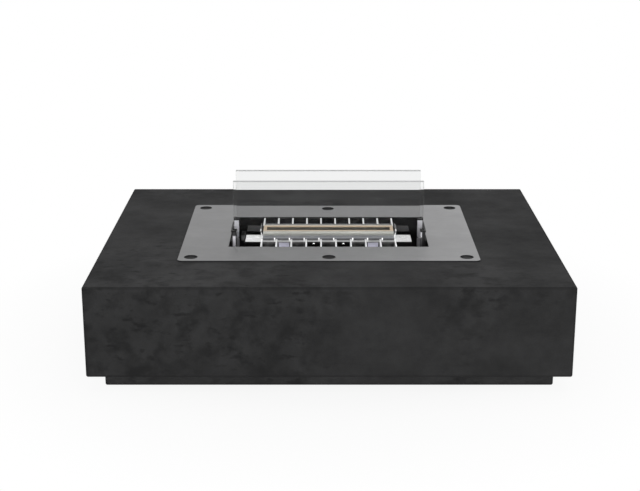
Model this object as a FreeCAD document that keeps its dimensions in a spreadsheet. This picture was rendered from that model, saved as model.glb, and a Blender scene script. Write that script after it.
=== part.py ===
"""Tabletop fire pit with a drop-in liquid-fuel burner, as a parametric FreeCAD document.

Millimetres, +Z up, +Y to the rear. The origin is under the middle of the object, on the table.
"""

import FreeCAD, Part
import math
import os

import Sketcher

doc = FreeCAD.newDocument("tabletop_fire_pit")

# Counts and proportions that stay the same at any size
FIN_COUNT = 10
FIN_HALVES = range(1 - FIN_COUNT, FIN_COUNT, 2)
PORT_CELLS = range(1 - FIN_COUNT // 2, FIN_COUNT // 2)
LIP_SCREW_CELLS = (PORT_CELLS[3], PORT_CELLS[-4])
HANGER_CELLS = (PORT_CELLS[1], PORT_CELLS[-2])
HEX_SIDES = 6
SOCKET_WIDTH_SHARE = 0.65
SOCKET_FLOOR_SHARE = 0.45
HALF_TURN = 180

# Driving sizes, each set by itself
DRIVING = {
    # Concrete body, plinth and feet
    "body_length": 600,
    "body_depth": 480,
    "body_height": 117,
    "body_wall": 15,
    "top_slab": 18,
    "body_edge_radius": 2.5,
    "plinth_inset": 20,
    "plinth_height": 19,
    "plinth_width": 40,
    "plinth_edge_radius": 2.5,
    "foot_radius": 14,
    "foot_stand": 1,
    "foot_recess": 2,
    # Base board, wall brackets and the anchors cast into the walls
    "board_gauge": 8,
    "board_gap": 0.5,
    "wall_bracket_spot": 190,
    "wall_bracket_width": 50,
    "wall_bracket_leg": 40,
    "wall_bracket_gauge": 3,
    "anchor_radius": 5,
    "anchor_length": 10,
    "anchor_pitch": 26,
    "plinth_screw_pitch": 240,
    # Top plate and burner well
    "plate_length": 390,
    "plate_depth": 275,
    "plate_gauge": 1.5,
    "plate_corner_radius": 6.5,
    "plate_hole_radius": 8.5,
    "plate_hole_inset": 16.5,
    "cutout_length": 265,
    "cutout_depth": 150,
    "well_gauge": 1.5,
    "well_height": 57,
    "opening_gap": 2,
    # Side brackets that carry the glass clips
    "side_bracket_gauge": 1.5,
    "side_bracket_depth": 84,
    "side_bracket_drop": 40,
    "lug_depth": 32,
    "lug_rise": 8.5,
    "side_screw_pitch": 24,
    "side_screw_drop": 26,
    "side_nut_radius": 4,
    "side_nut_height": 3,
    # Glass panes, their clips and their seats
    "glass_spacing": 61.4,
    "glass_thickness": 6,
    "glass_rise": 80,
    "glass_gap": 0.5,
    "glass_end_gap": 1.5,
    "clip_width": 6,
    "clip_wall": 1.5,
    "clip_rise": 10,
    "clip_drop": 30,
    "cap_height": 2.5,
    "cap_overhang": 0.8,
    "channel_wall": 1,
    "channel_height": 4,
    "gasket_gauge": 1,
    # Deck strips, burner head and fins
    "deck_end_gap": 20.2,
    "deck_margin": 22.3,
    "deck_span": 86.8,
    "deck_gauge": 1.5,
    "deck_drop": 1,
    "lip_height": 12,
    "lip_screw_drop": 2.75,
    "slot_width": 17.4,
    "head_span": 38,
    "head_height": 7,
    "head_gauge": 1.5,
    "cheek_gauge": 1.5,
    "cheek_height": 8.5,
    "cheek_flare": 2.5,
    "fin_gauge": 2,
    "fin_rise": 1.5,
    "fin_drop": 7,
    "fin_gap": 0.8,
    "fin_rail_gauge": 1.5,
    "tick_width": 2.4,
    "tick_gauge": 1.2,
    "tick_height": 4.5,
    # Reservoir, its hangers and the flame regulator
    "rail_height": 8.2,
    "rail_depth": 12,
    "rail_rebate": 2,
    "lid_gauge": 1.5,
    "port_seal": 1,
    "port_depth": 15,
    "reservoir_end_inset": 2.3,
    "reservoir_height": 33,
    "reservoir_gauge": 1.5,
    "absorber_gap": 0.4,
    "absorber_headroom": 3.5,
    "hanger_side_gap": 2,
    "hanger_gauge": 1.5,
    "hanger_leg": 16,
    "hanger_gap": 1,
    "slide_gauge": 1.5,
    "slide_gap": 0.1,
    "slide_overlap": 3,
    "tab_gap": 3.2,
    "tab_width": 18,
    "tab_side_gap": 1.1,
    "tab_rise": 3,
    "grip_gauge": 1.6,
    "grip_height": 9,
    # Screws: wall and board brackets, plinth, feet, side brackets and deck lips
    "screw_clearance": 0.2,
    "thread_clearance": 0.05,
    "wall_screw_radius": 3,
    "wall_screw_head_radius": 5.25,
    "wall_screw_head_height": 3.3,
    "wall_screw_length": 11,
    "board_screw_radius": 2.5,
    "board_screw_head_radius": 4.75,
    "board_screw_head_height": 2.8,
    "board_screw_length": 9,
    "plinth_screw_radius": 2.5,
    "plinth_screw_head_radius": 4.75,
    "plinth_screw_head_height": 2.8,
    "plinth_screw_length": 20,
    "foot_screw_radius": 2,
    "foot_screw_head_radius": 4,
    "foot_screw_head_height": 1.2,
    "foot_screw_length": 10,
    "side_screw_radius": 2,
    "side_screw_head_radius": 3.8,
    "side_screw_head_height": 2.2,
    "side_screw_length": 6.5,
    "lip_screw_radius": 1.5,
    "lip_screw_head_radius": 2.75,
    "lip_screw_head_height": 1.7,
    "lip_screw_length": 7,
}

# Levels, faces and spots worked out from the driving sizes
DERIVED = {
    "plinth_top": "sizes.foot_stand + sizes.plinth_height",
    "concrete_top": "plinth_top + sizes.body_height",
    "slab_bottom": "concrete_top - sizes.top_slab",
    "cavity_x": "sizes.body_length / 2 - sizes.body_wall",
    "cavity_y": "sizes.body_depth / 2 - sizes.body_wall",
    "plinth_x": "sizes.body_length / 2 - sizes.plinth_inset",
    "plinth_y": "sizes.body_depth / 2 - sizes.plinth_inset",
    "plinth_mid_x": "plinth_x - sizes.plinth_width / 2",
    "plinth_mid_y": "plinth_y - sizes.plinth_width / 2",
    "foot_ceiling": "sizes.foot_stand + sizes.foot_recess",
    "board_top": "plinth_top + sizes.board_gauge",
    "wall_screw_level": "board_top + sizes.wall_bracket_leg / 2",
    "board_screw_y": "cavity_y - sizes.wall_bracket_leg / 2",
    "plate_top": "concrete_top + sizes.plate_gauge",
    "hole_x": "sizes.plate_length / 2 - sizes.plate_hole_inset",
    "hole_y": "sizes.plate_depth / 2 - sizes.plate_hole_inset",
    "well_x": "sizes.cutout_length / 2",
    "well_y": "sizes.cutout_depth / 2",
    "well_bottom": "concrete_top - sizes.well_height - sizes.well_gauge",
    "clip_back": "well_x - sizes.side_bracket_gauge",
    "clip_front": "clip_back - sizes.clip_width",
    "glass_end": "clip_back - sizes.clip_wall - sizes.glass_end_gap",
    "glass_y": "sizes.glass_spacing / 2",
    "seat_half": "sizes.glass_thickness / 2 + sizes.glass_gap",
    "clip_half": "seat_half + sizes.clip_wall",
    "clip_top": "concrete_top + sizes.clip_rise",
    "clip_bottom": "concrete_top - sizes.clip_drop",
    "side_screw_level": "concrete_top - sizes.side_screw_drop",
    "deck_top": "concrete_top - sizes.deck_drop",
    "deck_under": "deck_top - sizes.deck_gauge",
    "deck_x": "well_x - sizes.deck_end_gap",
    "deck_y": "sizes.deck_span / 2",
    "slot_y": "sizes.slot_width / 2",
    "reservoir_x": "deck_x - sizes.reservoir_end_inset",
    "reservoir_y": "deck_y - sizes.deck_gauge",
    "channel_half": "seat_half + sizes.channel_wall",
    "seat_level": "deck_top + sizes.channel_wall",
    "glass_bottom": "seat_level + sizes.gasket_gauge",
    "glass_top": "concrete_top + sizes.glass_rise",
    "end_fin_x": "deck_x - sizes.deck_margin",
    "fin_pitch": f"end_fin_x * 2 / {FIN_COUNT - 1}",
    "fin_rail_x": "end_fin_x + sizes.fin_gauge",
    "fin_start": "glass_y + channel_half + sizes.fin_gap",
    "fin_end": "well_y - sizes.fin_rail_gauge",
    "fin_bottom": "deck_top - sizes.fin_drop",
    "head_x": "end_fin_x - sizes.fin_gauge / 2",
    "head_y": "sizes.head_span / 2",
    "lid_top": "deck_under - sizes.rail_height",
    "lid_bottom": "lid_top - sizes.lid_gauge",
    "reservoir_bottom": "lid_bottom - sizes.reservoir_height",
    "absorber_x": "reservoir_x - sizes.reservoir_gauge - sizes.absorber_gap",
    "absorber_y": "reservoir_y - sizes.reservoir_gauge - sizes.absorber_gap",
    "absorber_bottom": "reservoir_bottom + sizes.reservoir_gauge",
    "absorber_top": "lid_bottom - sizes.absorber_headroom",
    "rail_start": "reservoir_y - sizes.rail_depth",
    "slide_y": "rail_start + sizes.rail_rebate - sizes.slide_gap",
    "slide_bottom": "lid_top + sizes.slide_gap",
    "slide_top": "slide_bottom + sizes.slide_gauge",
    "port_length": "fin_pitch / 2 - sizes.port_seal",
    "slide_right": "end_fin_x + port_length / 2 + sizes.slide_overlap",
    "tab_face": "deck_x + sizes.tab_gap",
    "tab_top": "deck_top + sizes.tab_rise",
    "tab_side": "glass_y - clip_half - sizes.grip_gauge - sizes.tab_side_gap",
    "hanger_top": "fin_bottom - sizes.hanger_gap",
    "hanger_width": "fin_pitch - sizes.fin_gauge - sizes.hanger_side_gap * 2",
    "lip_screw_level": "deck_under - sizes.lip_screw_drop",
}


def fill_sheet(name, table, sign):
    """A sheet with one row per name, and that name as the alias of its value."""
    sheet = doc.addObject("Spreadsheet::Sheet", name)
    for row, (alias, entry) in enumerate(table.items(), start=1):
        sheet.set(f"A{row}", alias)
        sheet.set(f"B{row}", f"{sign}{entry}")
        sheet.setAlias(f"B{row}", alias)
    return sheet


sizes = fill_sheet("sizes", DRIVING, "")
places = fill_sheet("places", DERIVED, "=")
doc.recompute()
finished = []


def finish(item, label):
    """Keep an object as a sub-part under its own label."""
    item.Label = label
    finished.append(item)
    return item


def size(alias):
    """A driving size as a number, for groups of copies."""
    return float(sizes.get(alias))


def place(alias):
    """A worked-out level, face or spot as a number, for groups of copies."""
    return float(places.get(alias))


def bind(item, **texts):
    """Tie properties of an object to cells of the sheets."""
    for name, text in texts.items():
        item.setExpression(name, text)


def new_sketch(body, name, role, offset):
    """A sketch on one of the body's own origin planes, moved along that plane's normal."""
    plane = next(item for item in body.Origin.OriginFeatures if item.Role == role)
    sketch = body.newObject("Sketcher::SketchObject", name)
    sketch.AttachmentSupport = [(plane, "")]
    sketch.MapMode = "FlatFace"
    sketch.setExpression("AttachmentOffset.Base.z", offset)
    return sketch


def pin_point(sketch, index, corner, spot, start):
    """Fix one point of a sketch at two expressions measured from the sketch's origin."""
    for kind, text, value in (("DistanceX", spot[0], start.x), ("DistanceY", spot[1], start.y)):
        number = sketch.addConstraint(Sketcher.Constraint(kind, -1, 1, index, corner, value))
        sketch.setExpression(f"Constraints[{number}]", text)


def draw_outline(sketch, corners):
    """A closed outline of straight lines through the given corners."""
    first = sketch.GeometryCount
    count = len(corners)
    angles = [2 * math.pi * step / count for step in range(count)]
    starts = [FreeCAD.Vector(math.cos(angle), math.sin(angle), 0) for angle in angles]
    for step in range(count):
        sketch.addGeometry(Part.LineSegment(starts[step], starts[(step + 1) % count]), False)
    for step in range(count):
        follower = first + (step + 1) % count
        sketch.addConstraint(Sketcher.Constraint("Coincident", first + step, 2, follower, 1))
    for step, spot in enumerate(corners):
        pin_point(sketch, first + step, 1, spot, starts[step])


def draw_rectangle(sketch, half_x, half_y):
    """A rectangle about the sketch's origin."""
    draw_outline(sketch, [(f"-{half_x}", f"-{half_y}"), (half_x, f"-{half_y}"),
                          (half_x, half_y), (f"-{half_x}", half_y)])


def draw_circles(sketch, spots, radius):
    """Circles of one radius at the given spots."""
    for spot in spots:
        start = FreeCAD.Vector(1, 1, 0)
        index = sketch.addGeometry(Part.Circle(start, FreeCAD.Vector(0, 0, 1), 1), False)
        number = sketch.addConstraint(Sketcher.Constraint("Radius", index, 1))
        sketch.setExpression(f"Constraints[{number}]", radius)
        pin_point(sketch, index, 3, spot, start)


def add_pad(body, sketch, length):
    """Pad a sketch along its normal."""
    pad = body.newObject("PartDesign::Pad", f"{sketch.Name}_pad")
    pad.Profile = sketch
    pad.setExpression("Length", length)
    sketch.Visibility = False
    doc.recompute()
    return pad


def add_pocket(body, sketch, length, forward=False):
    """Cut a sketch out of the body, against its normal or along it, and make sure that it cuts."""
    before = body.Shape.Volume
    pocket = body.newObject("PartDesign::Pocket", f"{sketch.Name}_pocket")
    pocket.Profile = sketch
    pocket.Reversed = forward
    pocket.setExpression("Length", length)
    sketch.Visibility = False
    doc.recompute()
    if body.Shape.Volume >= before:
        raise RuntimeError(f"{pocket.Name} cuts nothing")
    return pocket


def add_fillet(body, radius, wanted):
    """Round the edges of the body's last feature that the test picks."""
    base = body.Tip
    names = [f"Edge{number}" for number, edge in enumerate(base.Shape.Edges, start=1) if wanted(edge)]
    fillet = body.newObject("PartDesign::Fillet", f"{body.Name}_fillet")
    fillet.Base = (base, names)
    fillet.setExpression("Radius", radius)
    doc.recompute()
    return fillet


def is_upright(edge):
    """True for a straight edge along Z."""
    return edge.BoundBox.ZLength > max(edge.BoundBox.XLength, edge.BoundBox.YLength)


def new_prism(name, role, corners, start, length):
    """A body padded from one outline, beginning at an offset from an origin plane."""
    body = doc.addObject("PartDesign::Body", name)
    sketch = new_sketch(body, f"{name}_outline", role, start)
    draw_outline(sketch, corners)
    add_pad(body, sketch, length)
    return body


def new_block(name, low, high):
    """A body that fills the box between two corners of expressions."""
    corners = [(low[0], low[1]), (high[0], low[1]), (high[0], high[1]), (low[0], high[1])]
    return new_prism(name, "XY_Plane", corners, low[2], f"{high[2]} - ({low[2]})")


def mirror_pairs(half_x, half_y):
    """The four spots at plus and minus two expressions."""
    return [(f"{sx}{half_x}", f"{sy}{half_y}") for sx in ("-", "") for sy in ("-", "")]


def new_screw(name, kind):
    """One socket screw along Z, with the underside of its head at the origin."""
    head = doc.addObject("Part::Cylinder", f"{name}_head")
    bind(head, Radius=f"sizes.{kind}_head_radius", Height=f"sizes.{kind}_head_height")
    shank = doc.addObject("Part::Cylinder", f"{name}_shank")
    bind(shank, Radius=f"sizes.{kind}_radius", Height=f"sizes.{kind}_length")
    shank.setExpression("Placement.Base.z", f"-sizes.{kind}_length")
    socket = doc.addObject("Part::Prism", f"{name}_socket")
    socket.Polygon = HEX_SIDES
    bind(socket, Circumradius=f"sizes.{kind}_radius * {SOCKET_WIDTH_SHARE}",
         Height=f"sizes.{kind}_head_height")
    socket.setExpression("Placement.Base.z", f"sizes.{kind}_head_height * {SOCKET_FLOOR_SHARE}")
    solid = doc.addObject("Part::Fuse", f"{name}_solid")
    solid.Base = head
    solid.Tool = shank
    screw = doc.addObject("Part::Cut", name)
    screw.Base = solid
    screw.Tool = socket
    doc.recompute()
    return screw


def spot_at(x, y, z, axis=(0, 0, 1), angle=0):
    """A placement turned about one axis."""
    return FreeCAD.Placement(FreeCAD.Vector(x, y, z), FreeCAD.Rotation(FreeCAD.Vector(*axis), angle))


def new_group(label, master, spots):
    """Copies of one solid as separate solids of one sub-part."""
    copies = []
    for spot in spots:
        copy = master.Shape.copy()
        copy.Placement = spot.multiply(copy.Placement)
        copies.append(copy)
    group = doc.addObject("Part::Feature", label)
    group.Shape = Part.makeCompound(copies)
    group.Placement = FreeCAD.Placement()
    return finish(group, label)


# Screw spots that several pieces share
ANCHOR_SPOTS = [(f"{side}sizes.wall_bracket_spot + {way}sizes.anchor_pitch / 2", "places.wall_screw_level")
                for side in ("-", "") for way in ("-", "")]
BOARD_SCREW_SPOTS = [(x, f"{end}places.board_screw_y") for x, level in ANCHOR_SPOTS for end in ("-", "")]
PLINTH_SCREW_SPOTS = mirror_pairs("sizes.plinth_screw_pitch / 2", "places.plinth_mid_y")
PLINTH_SCREW_SPOTS += [("-places.plinth_mid_x", "0"), ("places.plinth_mid_x", "0")]
FOOT_SPOTS = mirror_pairs("places.plinth_mid_x", "places.plinth_mid_y")
PLATE_HOLE_SPOTS = mirror_pairs("places.hole_x", "places.hole_y")
PLATE_HOLE_SPOTS += [("0", "-places.hole_y"), ("0", "places.hole_y")]

# Concrete body: a cast shell, open below, with an opening in its top for the burner well
concrete = finish(doc.addObject("PartDesign::Body", "concrete_body"), "concrete_body")
outline = new_sketch(concrete, "concrete_outline", "XY_Plane", "places.plinth_top")
draw_rectangle(outline, "sizes.body_length / 2", "sizes.body_depth / 2")
add_pad(concrete, outline, "sizes.body_height")
add_fillet(concrete, "sizes.body_edge_radius", lambda edge: True)
cavity = new_sketch(concrete, "concrete_cavity", "XY_Plane", "places.plinth_top")
draw_rectangle(cavity, "places.cavity_x", "places.cavity_y")
add_pocket(concrete, cavity, "sizes.body_height - sizes.top_slab", forward=True)
opening = new_sketch(concrete, "concrete_opening", "XY_Plane", "places.concrete_top")
draw_rectangle(opening, "(places.well_x + sizes.well_gauge + sizes.opening_gap)",
               "(places.well_y + sizes.well_gauge + sizes.opening_gap)")
add_pocket(concrete, opening, "sizes.top_slab")
for end, offset in (("front", "places.cavity_y"), ("rear", "-places.cavity_y")):
    anchors = new_sketch(concrete, f"{end}_anchor_holes", "XZ_Plane", offset)
    draw_circles(anchors, ANCHOR_SPOTS, "sizes.anchor_radius")
    add_pocket(concrete, anchors, "sizes.anchor_length", forward=end == "front")

# Base plinth: a cast ring, set back under the body
plinth = finish(doc.addObject("PartDesign::Body", "base_plinth"), "base_plinth")
outline = new_sketch(plinth, "plinth_outline", "XY_Plane", "sizes.foot_stand")
draw_rectangle(outline, "places.plinth_x", "places.plinth_y")
add_pad(plinth, outline, "sizes.plinth_height")
add_fillet(plinth, "sizes.plinth_edge_radius",
           lambda edge: is_upright(edge) or edge.BoundBox.ZMax < place("plinth_top") / 2)
inside = new_sketch(plinth, "plinth_inside", "XY_Plane", "places.plinth_top")
draw_rectangle(inside, "(places.plinth_x - sizes.plinth_width)", "(places.plinth_y - sizes.plinth_width)")
add_pocket(plinth, inside, "sizes.plinth_height")
recess = new_sketch(plinth, "foot_recesses", "XY_Plane", "sizes.foot_stand")
draw_circles(recess, FOOT_SPOTS, "sizes.foot_radius + sizes.screw_clearance")
add_pocket(plinth, recess, "sizes.foot_recess", forward=True)
foot_holes = new_sketch(plinth, "foot_screw_holes", "XY_Plane", "places.foot_ceiling")
draw_circles(foot_holes, FOOT_SPOTS, "sizes.foot_screw_radius + sizes.thread_clearance")
add_pocket(plinth, foot_holes, "sizes.foot_screw_length", forward=True)
plinth_holes = new_sketch(plinth, "plinth_screw_holes", "XY_Plane", "places.plinth_top")
draw_circles(plinth_holes, PLINTH_SCREW_SPOTS, "sizes.plinth_screw_radius + sizes.thread_clearance")
add_pocket(plinth, plinth_holes, "sizes.plinth_screw_length - sizes.board_gauge")

# Base board: a flat panel that closes the body from below and stands on the plinth
board = finish(doc.addObject("PartDesign::Body", "base_board"), "base_board")
outline = new_sketch(board, "board_outline", "XY_Plane", "places.plinth_top")
draw_rectangle(outline, "(places.cavity_x - sizes.board_gap)", "(places.cavity_y - sizes.board_gap)")
add_pad(board, outline, "sizes.board_gauge")
board_holes = new_sketch(board, "board_plinth_holes", "XY_Plane", "places.board_top")
draw_circles(board_holes, PLINTH_SCREW_SPOTS, "sizes.plinth_screw_radius + sizes.screw_clearance")
add_pocket(board, board_holes, "sizes.board_gauge")
bracket_holes = new_sketch(board, "board_bracket_holes", "XY_Plane", "places.board_top")
draw_circles(bracket_holes, BOARD_SCREW_SPOTS, "sizes.board_screw_radius + sizes.thread_clearance")
add_pocket(board, bracket_holes, "sizes.board_screw_length - sizes.wall_bracket_gauge")

# Wall brackets: four folded angles that tie the walls to the board, drawn once for the rear wall
bracket = new_prism("wall_bracket", "YZ_Plane", [
    ("places.cavity_y", "places.board_top"),
    ("places.cavity_y", "places.board_top + sizes.wall_bracket_leg"),
    ("places.cavity_y - sizes.wall_bracket_gauge", "places.board_top + sizes.wall_bracket_leg"),
    ("places.cavity_y - sizes.wall_bracket_gauge", "places.board_top + sizes.wall_bracket_gauge"),
    ("places.cavity_y - sizes.wall_bracket_leg", "places.board_top + sizes.wall_bracket_gauge"),
    ("places.cavity_y - sizes.wall_bracket_leg", "places.board_top"),
], "-sizes.wall_bracket_width / 2", "sizes.wall_bracket_width")
upright_holes = new_sketch(bracket, "bracket_wall_holes", "XZ_Plane",
                           "sizes.wall_bracket_gauge - places.cavity_y")
PAIR = ("-sizes.anchor_pitch / 2", "sizes.anchor_pitch / 2")
draw_circles(upright_holes, [(spot, "places.wall_screw_level") for spot in PAIR],
             "sizes.wall_screw_radius + sizes.screw_clearance")
add_pocket(bracket, upright_holes, "sizes.wall_bracket_gauge")
flat_holes = new_sketch(bracket, "bracket_board_holes", "XY_Plane",
                        "places.board_top + sizes.wall_bracket_gauge")
draw_circles(flat_holes, [(spot, "places.board_screw_y") for spot in PAIR],
             "sizes.board_screw_radius + sizes.screw_clearance")
add_pocket(bracket, flat_holes, "sizes.wall_bracket_gauge")
bracket_x = size("wall_bracket_spot")
new_group("wall_brackets", bracket, [spot_at(x, 0, 0, angle=turn)
                                     for x in (-bracket_x, bracket_x) for turn in (0, HALF_TURN)])

# Wall anchors: threaded sleeves cast into the walls, with their screws
sleeve = doc.addObject("Part::Cylinder", "anchor_sleeve")
bind(sleeve, Radius="sizes.anchor_radius", Height="sizes.anchor_length")
bore = doc.addObject("Part::Cylinder", "anchor_bore")
bind(bore, Radius="sizes.wall_screw_radius + sizes.thread_clearance", Height="sizes.anchor_length")
anchor = doc.addObject("Part::Cut", "anchor")
anchor.Base = sleeve
anchor.Tool = bore
doc.recompute()
wall_xs = [side * bracket_x + way * size("anchor_pitch") / 2 for side in (-1, 1) for way in (-1, 1)]
wall_z = place("wall_screw_level")
inner_face = place("cavity_y")
TOWARD_REAR = -90
TOWARD_FRONT = 90
TOWARD_LEFT = -90
TOWARD_RIGHT = 90
ALONG_X = (1, 0, 0)
ALONG_Y = (0, 1, 0)
new_group("wall_anchors", anchor,
          [spot_at(x, inner_face, wall_z, ALONG_X, TOWARD_REAR) for x in wall_xs]
          + [spot_at(x, -inner_face, wall_z, ALONG_X, TOWARD_FRONT) for x in wall_xs])
head_face = inner_face - size("wall_bracket_gauge")
new_group("wall_screws", new_screw("wall_screw", "wall_screw"),
          [spot_at(x, head_face, wall_z, ALONG_X, TOWARD_FRONT) for x in wall_xs]
          + [spot_at(x, -head_face, wall_z, ALONG_X, TOWARD_REAR) for x in wall_xs])

# Board screws hold the brackets to the board, plinth screws hold the plinth under it
bracket_face = place("board_top") + size("wall_bracket_gauge")
board_screw_y = place("board_screw_y")
new_group("board_screws", new_screw("board_screw", "board_screw"),
          [spot_at(x, y, bracket_face) for x in wall_xs for y in (-board_screw_y, board_screw_y)])
plinth_screw_x = size("plinth_screw_pitch") / 2
plinth_screw_spots = [(x, y) for x in (-plinth_screw_x, plinth_screw_x)
                      for y in (-place("plinth_mid_y"), place("plinth_mid_y"))]
plinth_screw_spots += [(-place("plinth_mid_x"), 0), (place("plinth_mid_x"), 0)]
new_group("plinth_screws", new_screw("plinth_screw", "plinth_screw"),
          [spot_at(x, y, place("board_top")) for x, y in plinth_screw_spots])

# Foot pads: rubber discs let into the plinth, each held by a screw whose head is sunk in it
pad_disc = doc.addObject("PartDesign::Body", "foot_pad")
outline = new_sketch(pad_disc, "foot_outline", "XY_Plane", "0")
draw_circles(outline, [("0", "0")], "sizes.foot_radius")
add_pad(pad_disc, outline, "places.foot_ceiling")
sunk = new_sketch(pad_disc, "foot_head_recess", "XY_Plane", "0")
draw_circles(sunk, [("0", "0")], "sizes.foot_screw_head_radius + sizes.screw_clearance")
add_pocket(pad_disc, sunk, "sizes.foot_screw_head_height + sizes.screw_clearance", forward=True)
through = new_sketch(pad_disc, "foot_screw_hole", "XY_Plane", "0")
draw_circles(through, [("0", "0")], "sizes.foot_screw_radius + sizes.screw_clearance")
add_pocket(pad_disc, through, "places.foot_ceiling", forward=True)
foot_spots = [(x, y) for x in (-place("plinth_mid_x"), place("plinth_mid_x"))
              for y in (-place("plinth_mid_y"), place("plinth_mid_y"))]
new_group("foot_pads", pad_disc, [spot_at(x, y, 0) for x, y in foot_spots])
sunk_face = size("foot_screw_head_height") + size("screw_clearance")
new_group("foot_screws", new_screw("foot_screw", "foot_screw"),
          [spot_at(x, y, sunk_face, ALONG_X, HALF_TURN) for x, y in foot_spots])

# Top plate: one sheet of stainless steel with a burner cutout and six plain holes
plate = finish(doc.addObject("PartDesign::Body", "top_plate"), "top_plate")
outline = new_sketch(plate, "plate_outline", "XY_Plane", "places.concrete_top")
draw_rectangle(outline, "sizes.plate_length / 2", "sizes.plate_depth / 2")
add_pad(plate, outline, "sizes.plate_gauge")
add_fillet(plate, "sizes.plate_corner_radius", is_upright)
cutout = new_sketch(plate, "plate_cutout", "XY_Plane", "places.plate_top")
draw_rectangle(cutout, "places.well_x", "places.well_y")
add_pocket(plate, cutout, "sizes.plate_gauge")
plate_holes = new_sketch(plate, "plate_holes", "XY_Plane", "places.plate_top")
draw_circles(plate_holes, PLATE_HOLE_SPOTS, "sizes.plate_hole_radius")
add_pocket(plate, plate_holes, "sizes.plate_gauge")

# Burner well: a folded steel box welded under the plate around its cutout
well = finish(doc.addObject("PartDesign::Body", "burner_well"), "burner_well")
outline = new_sketch(well, "well_outline", "XY_Plane", "places.well_bottom")
draw_rectangle(outline, "(places.well_x + sizes.well_gauge)", "(places.well_y + sizes.well_gauge)")
add_pad(well, outline, "sizes.well_height + sizes.well_gauge")
hollow = new_sketch(well, "well_hollow", "XY_Plane", "places.concrete_top")
draw_rectangle(hollow, "places.well_x", "places.well_y")
add_pocket(well, hollow, "sizes.well_height")
SIDE_SCREW_SPOTS = [("-sizes.side_screw_pitch / 2", "places.side_screw_level"),
                    ("sizes.side_screw_pitch / 2", "places.side_screw_level")]
for end, offset in (("left", "-places.well_x"), ("right", "places.well_x")):
    side_holes = new_sketch(well, f"well_{end}_holes", "YZ_Plane", offset)
    draw_circles(side_holes, SIDE_SCREW_SPOTS, "sizes.side_screw_radius + sizes.screw_clearance")
    add_pocket(well, side_holes, "sizes.well_gauge", forward=end == "right")

# Side brackets: a plate at each short side of the well, with an upright lug between the panes
BRACKET_OUTLINE = [
    ("-sizes.side_bracket_depth / 2", "places.concrete_top - sizes.side_bracket_drop"),
    ("sizes.side_bracket_depth / 2", "places.concrete_top - sizes.side_bracket_drop"),
    ("sizes.side_bracket_depth / 2", "places.concrete_top"),
    ("sizes.lug_depth / 2", "places.concrete_top"),
    ("sizes.lug_depth / 2", "places.plate_top + sizes.lug_rise"),
    ("-sizes.lug_depth / 2", "places.plate_top + sizes.lug_rise"),
    ("-sizes.lug_depth / 2", "places.concrete_top"),
    ("-sizes.side_bracket_depth / 2", "places.concrete_top"),
]
for end, start in (("left", "-places.well_x"), ("right", "places.clip_back")):
    side = new_prism(f"{end}_side_bracket", "YZ_Plane", BRACKET_OUTLINE, start, "sizes.side_bracket_gauge")
    finish(side, f"{end}_side_bracket")
    side_holes = new_sketch(side, f"{end}_side_holes", "YZ_Plane", start)
    draw_circles(side_holes, SIDE_SCREW_SPOTS, "sizes.side_screw_radius + sizes.screw_clearance")
    add_pocket(side, side_holes, "sizes.side_bracket_gauge", forward=True)

# Side bracket screws and the nuts behind the well's wall
side_ys = (-size("side_screw_pitch") / 2, size("side_screw_pitch") / 2)
side_z = place("side_screw_level")
new_group("side_bracket_screws", new_screw("side_screw", "side_screw"),
          [spot_at(place("clip_back"), y, side_z, ALONG_Y, TOWARD_LEFT) for y in side_ys]
          + [spot_at(-place("clip_back"), y, side_z, ALONG_Y, TOWARD_RIGHT) for y in side_ys])
nut_block = doc.addObject("Part::Prism", "side_nut_block")
nut_block.Polygon = HEX_SIDES
bind(nut_block, Circumradius="sizes.side_nut_radius", Height="sizes.side_nut_height")
nut_bore = doc.addObject("Part::Cylinder", "side_nut_bore")
bind(nut_bore, Radius="sizes.side_screw_radius + sizes.thread_clearance", Height="sizes.side_nut_height")
nut = doc.addObject("Part::Cut", "side_nut")
nut.Base = nut_block
nut.Tool = nut_bore
doc.recompute()
outer_wall = place("well_x") + size("well_gauge")
new_group("side_bracket_nuts", nut,
          [spot_at(outer_wall, y, side_z, ALONG_Y, TOWARD_RIGHT) for y in side_ys]
          + [spot_at(-outer_wall, y, side_z, ALONG_Y, TOWARD_LEFT) for y in side_ys])


def channel_outline(front, back, wall, half, inner):
    """A channel open toward the middle of the burner, seen from above."""
    return [(front, f"-{half}"), (back, f"-{half}"), (back, half), (front, half), (front, inner),
            (f"{back} - {wall}", inner), (f"{back} - {wall}", f"-{inner}"), (front, f"-{inner}")]


# Glass clips: upright channels welded to the side brackets, drawn once for the right
clip = new_prism("glass_clip", "XY_Plane",
                 channel_outline("places.clip_front", "places.clip_back", "sizes.clip_wall",
                                 "places.clip_half", "places.seat_half"),
                 "places.clip_bottom", "sizes.clip_drop + sizes.clip_rise")
CORNERS = [(turn, y) for turn in (0, HALF_TURN) for y in (-place("glass_y"), place("glass_y"))]
new_group("glass_clips", clip, [spot_at(0, y, 0, angle=turn) for turn, y in CORNERS])

# Clip caps: black channels of the same form on top of the clips
cap = new_prism("clip_cap", "XY_Plane",
                channel_outline("(places.clip_front - sizes.cap_overhang)",
                                "(places.clip_back + sizes.cap_overhang)",
                                "(sizes.clip_wall + sizes.cap_overhang)",
                                "(places.clip_half + sizes.cap_overhang)", "places.seat_half"),
                "places.clip_top", "sizes.cap_height")
new_group("clip_caps", cap, [spot_at(0, y, 0, angle=turn) for turn, y in CORNERS])

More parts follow.
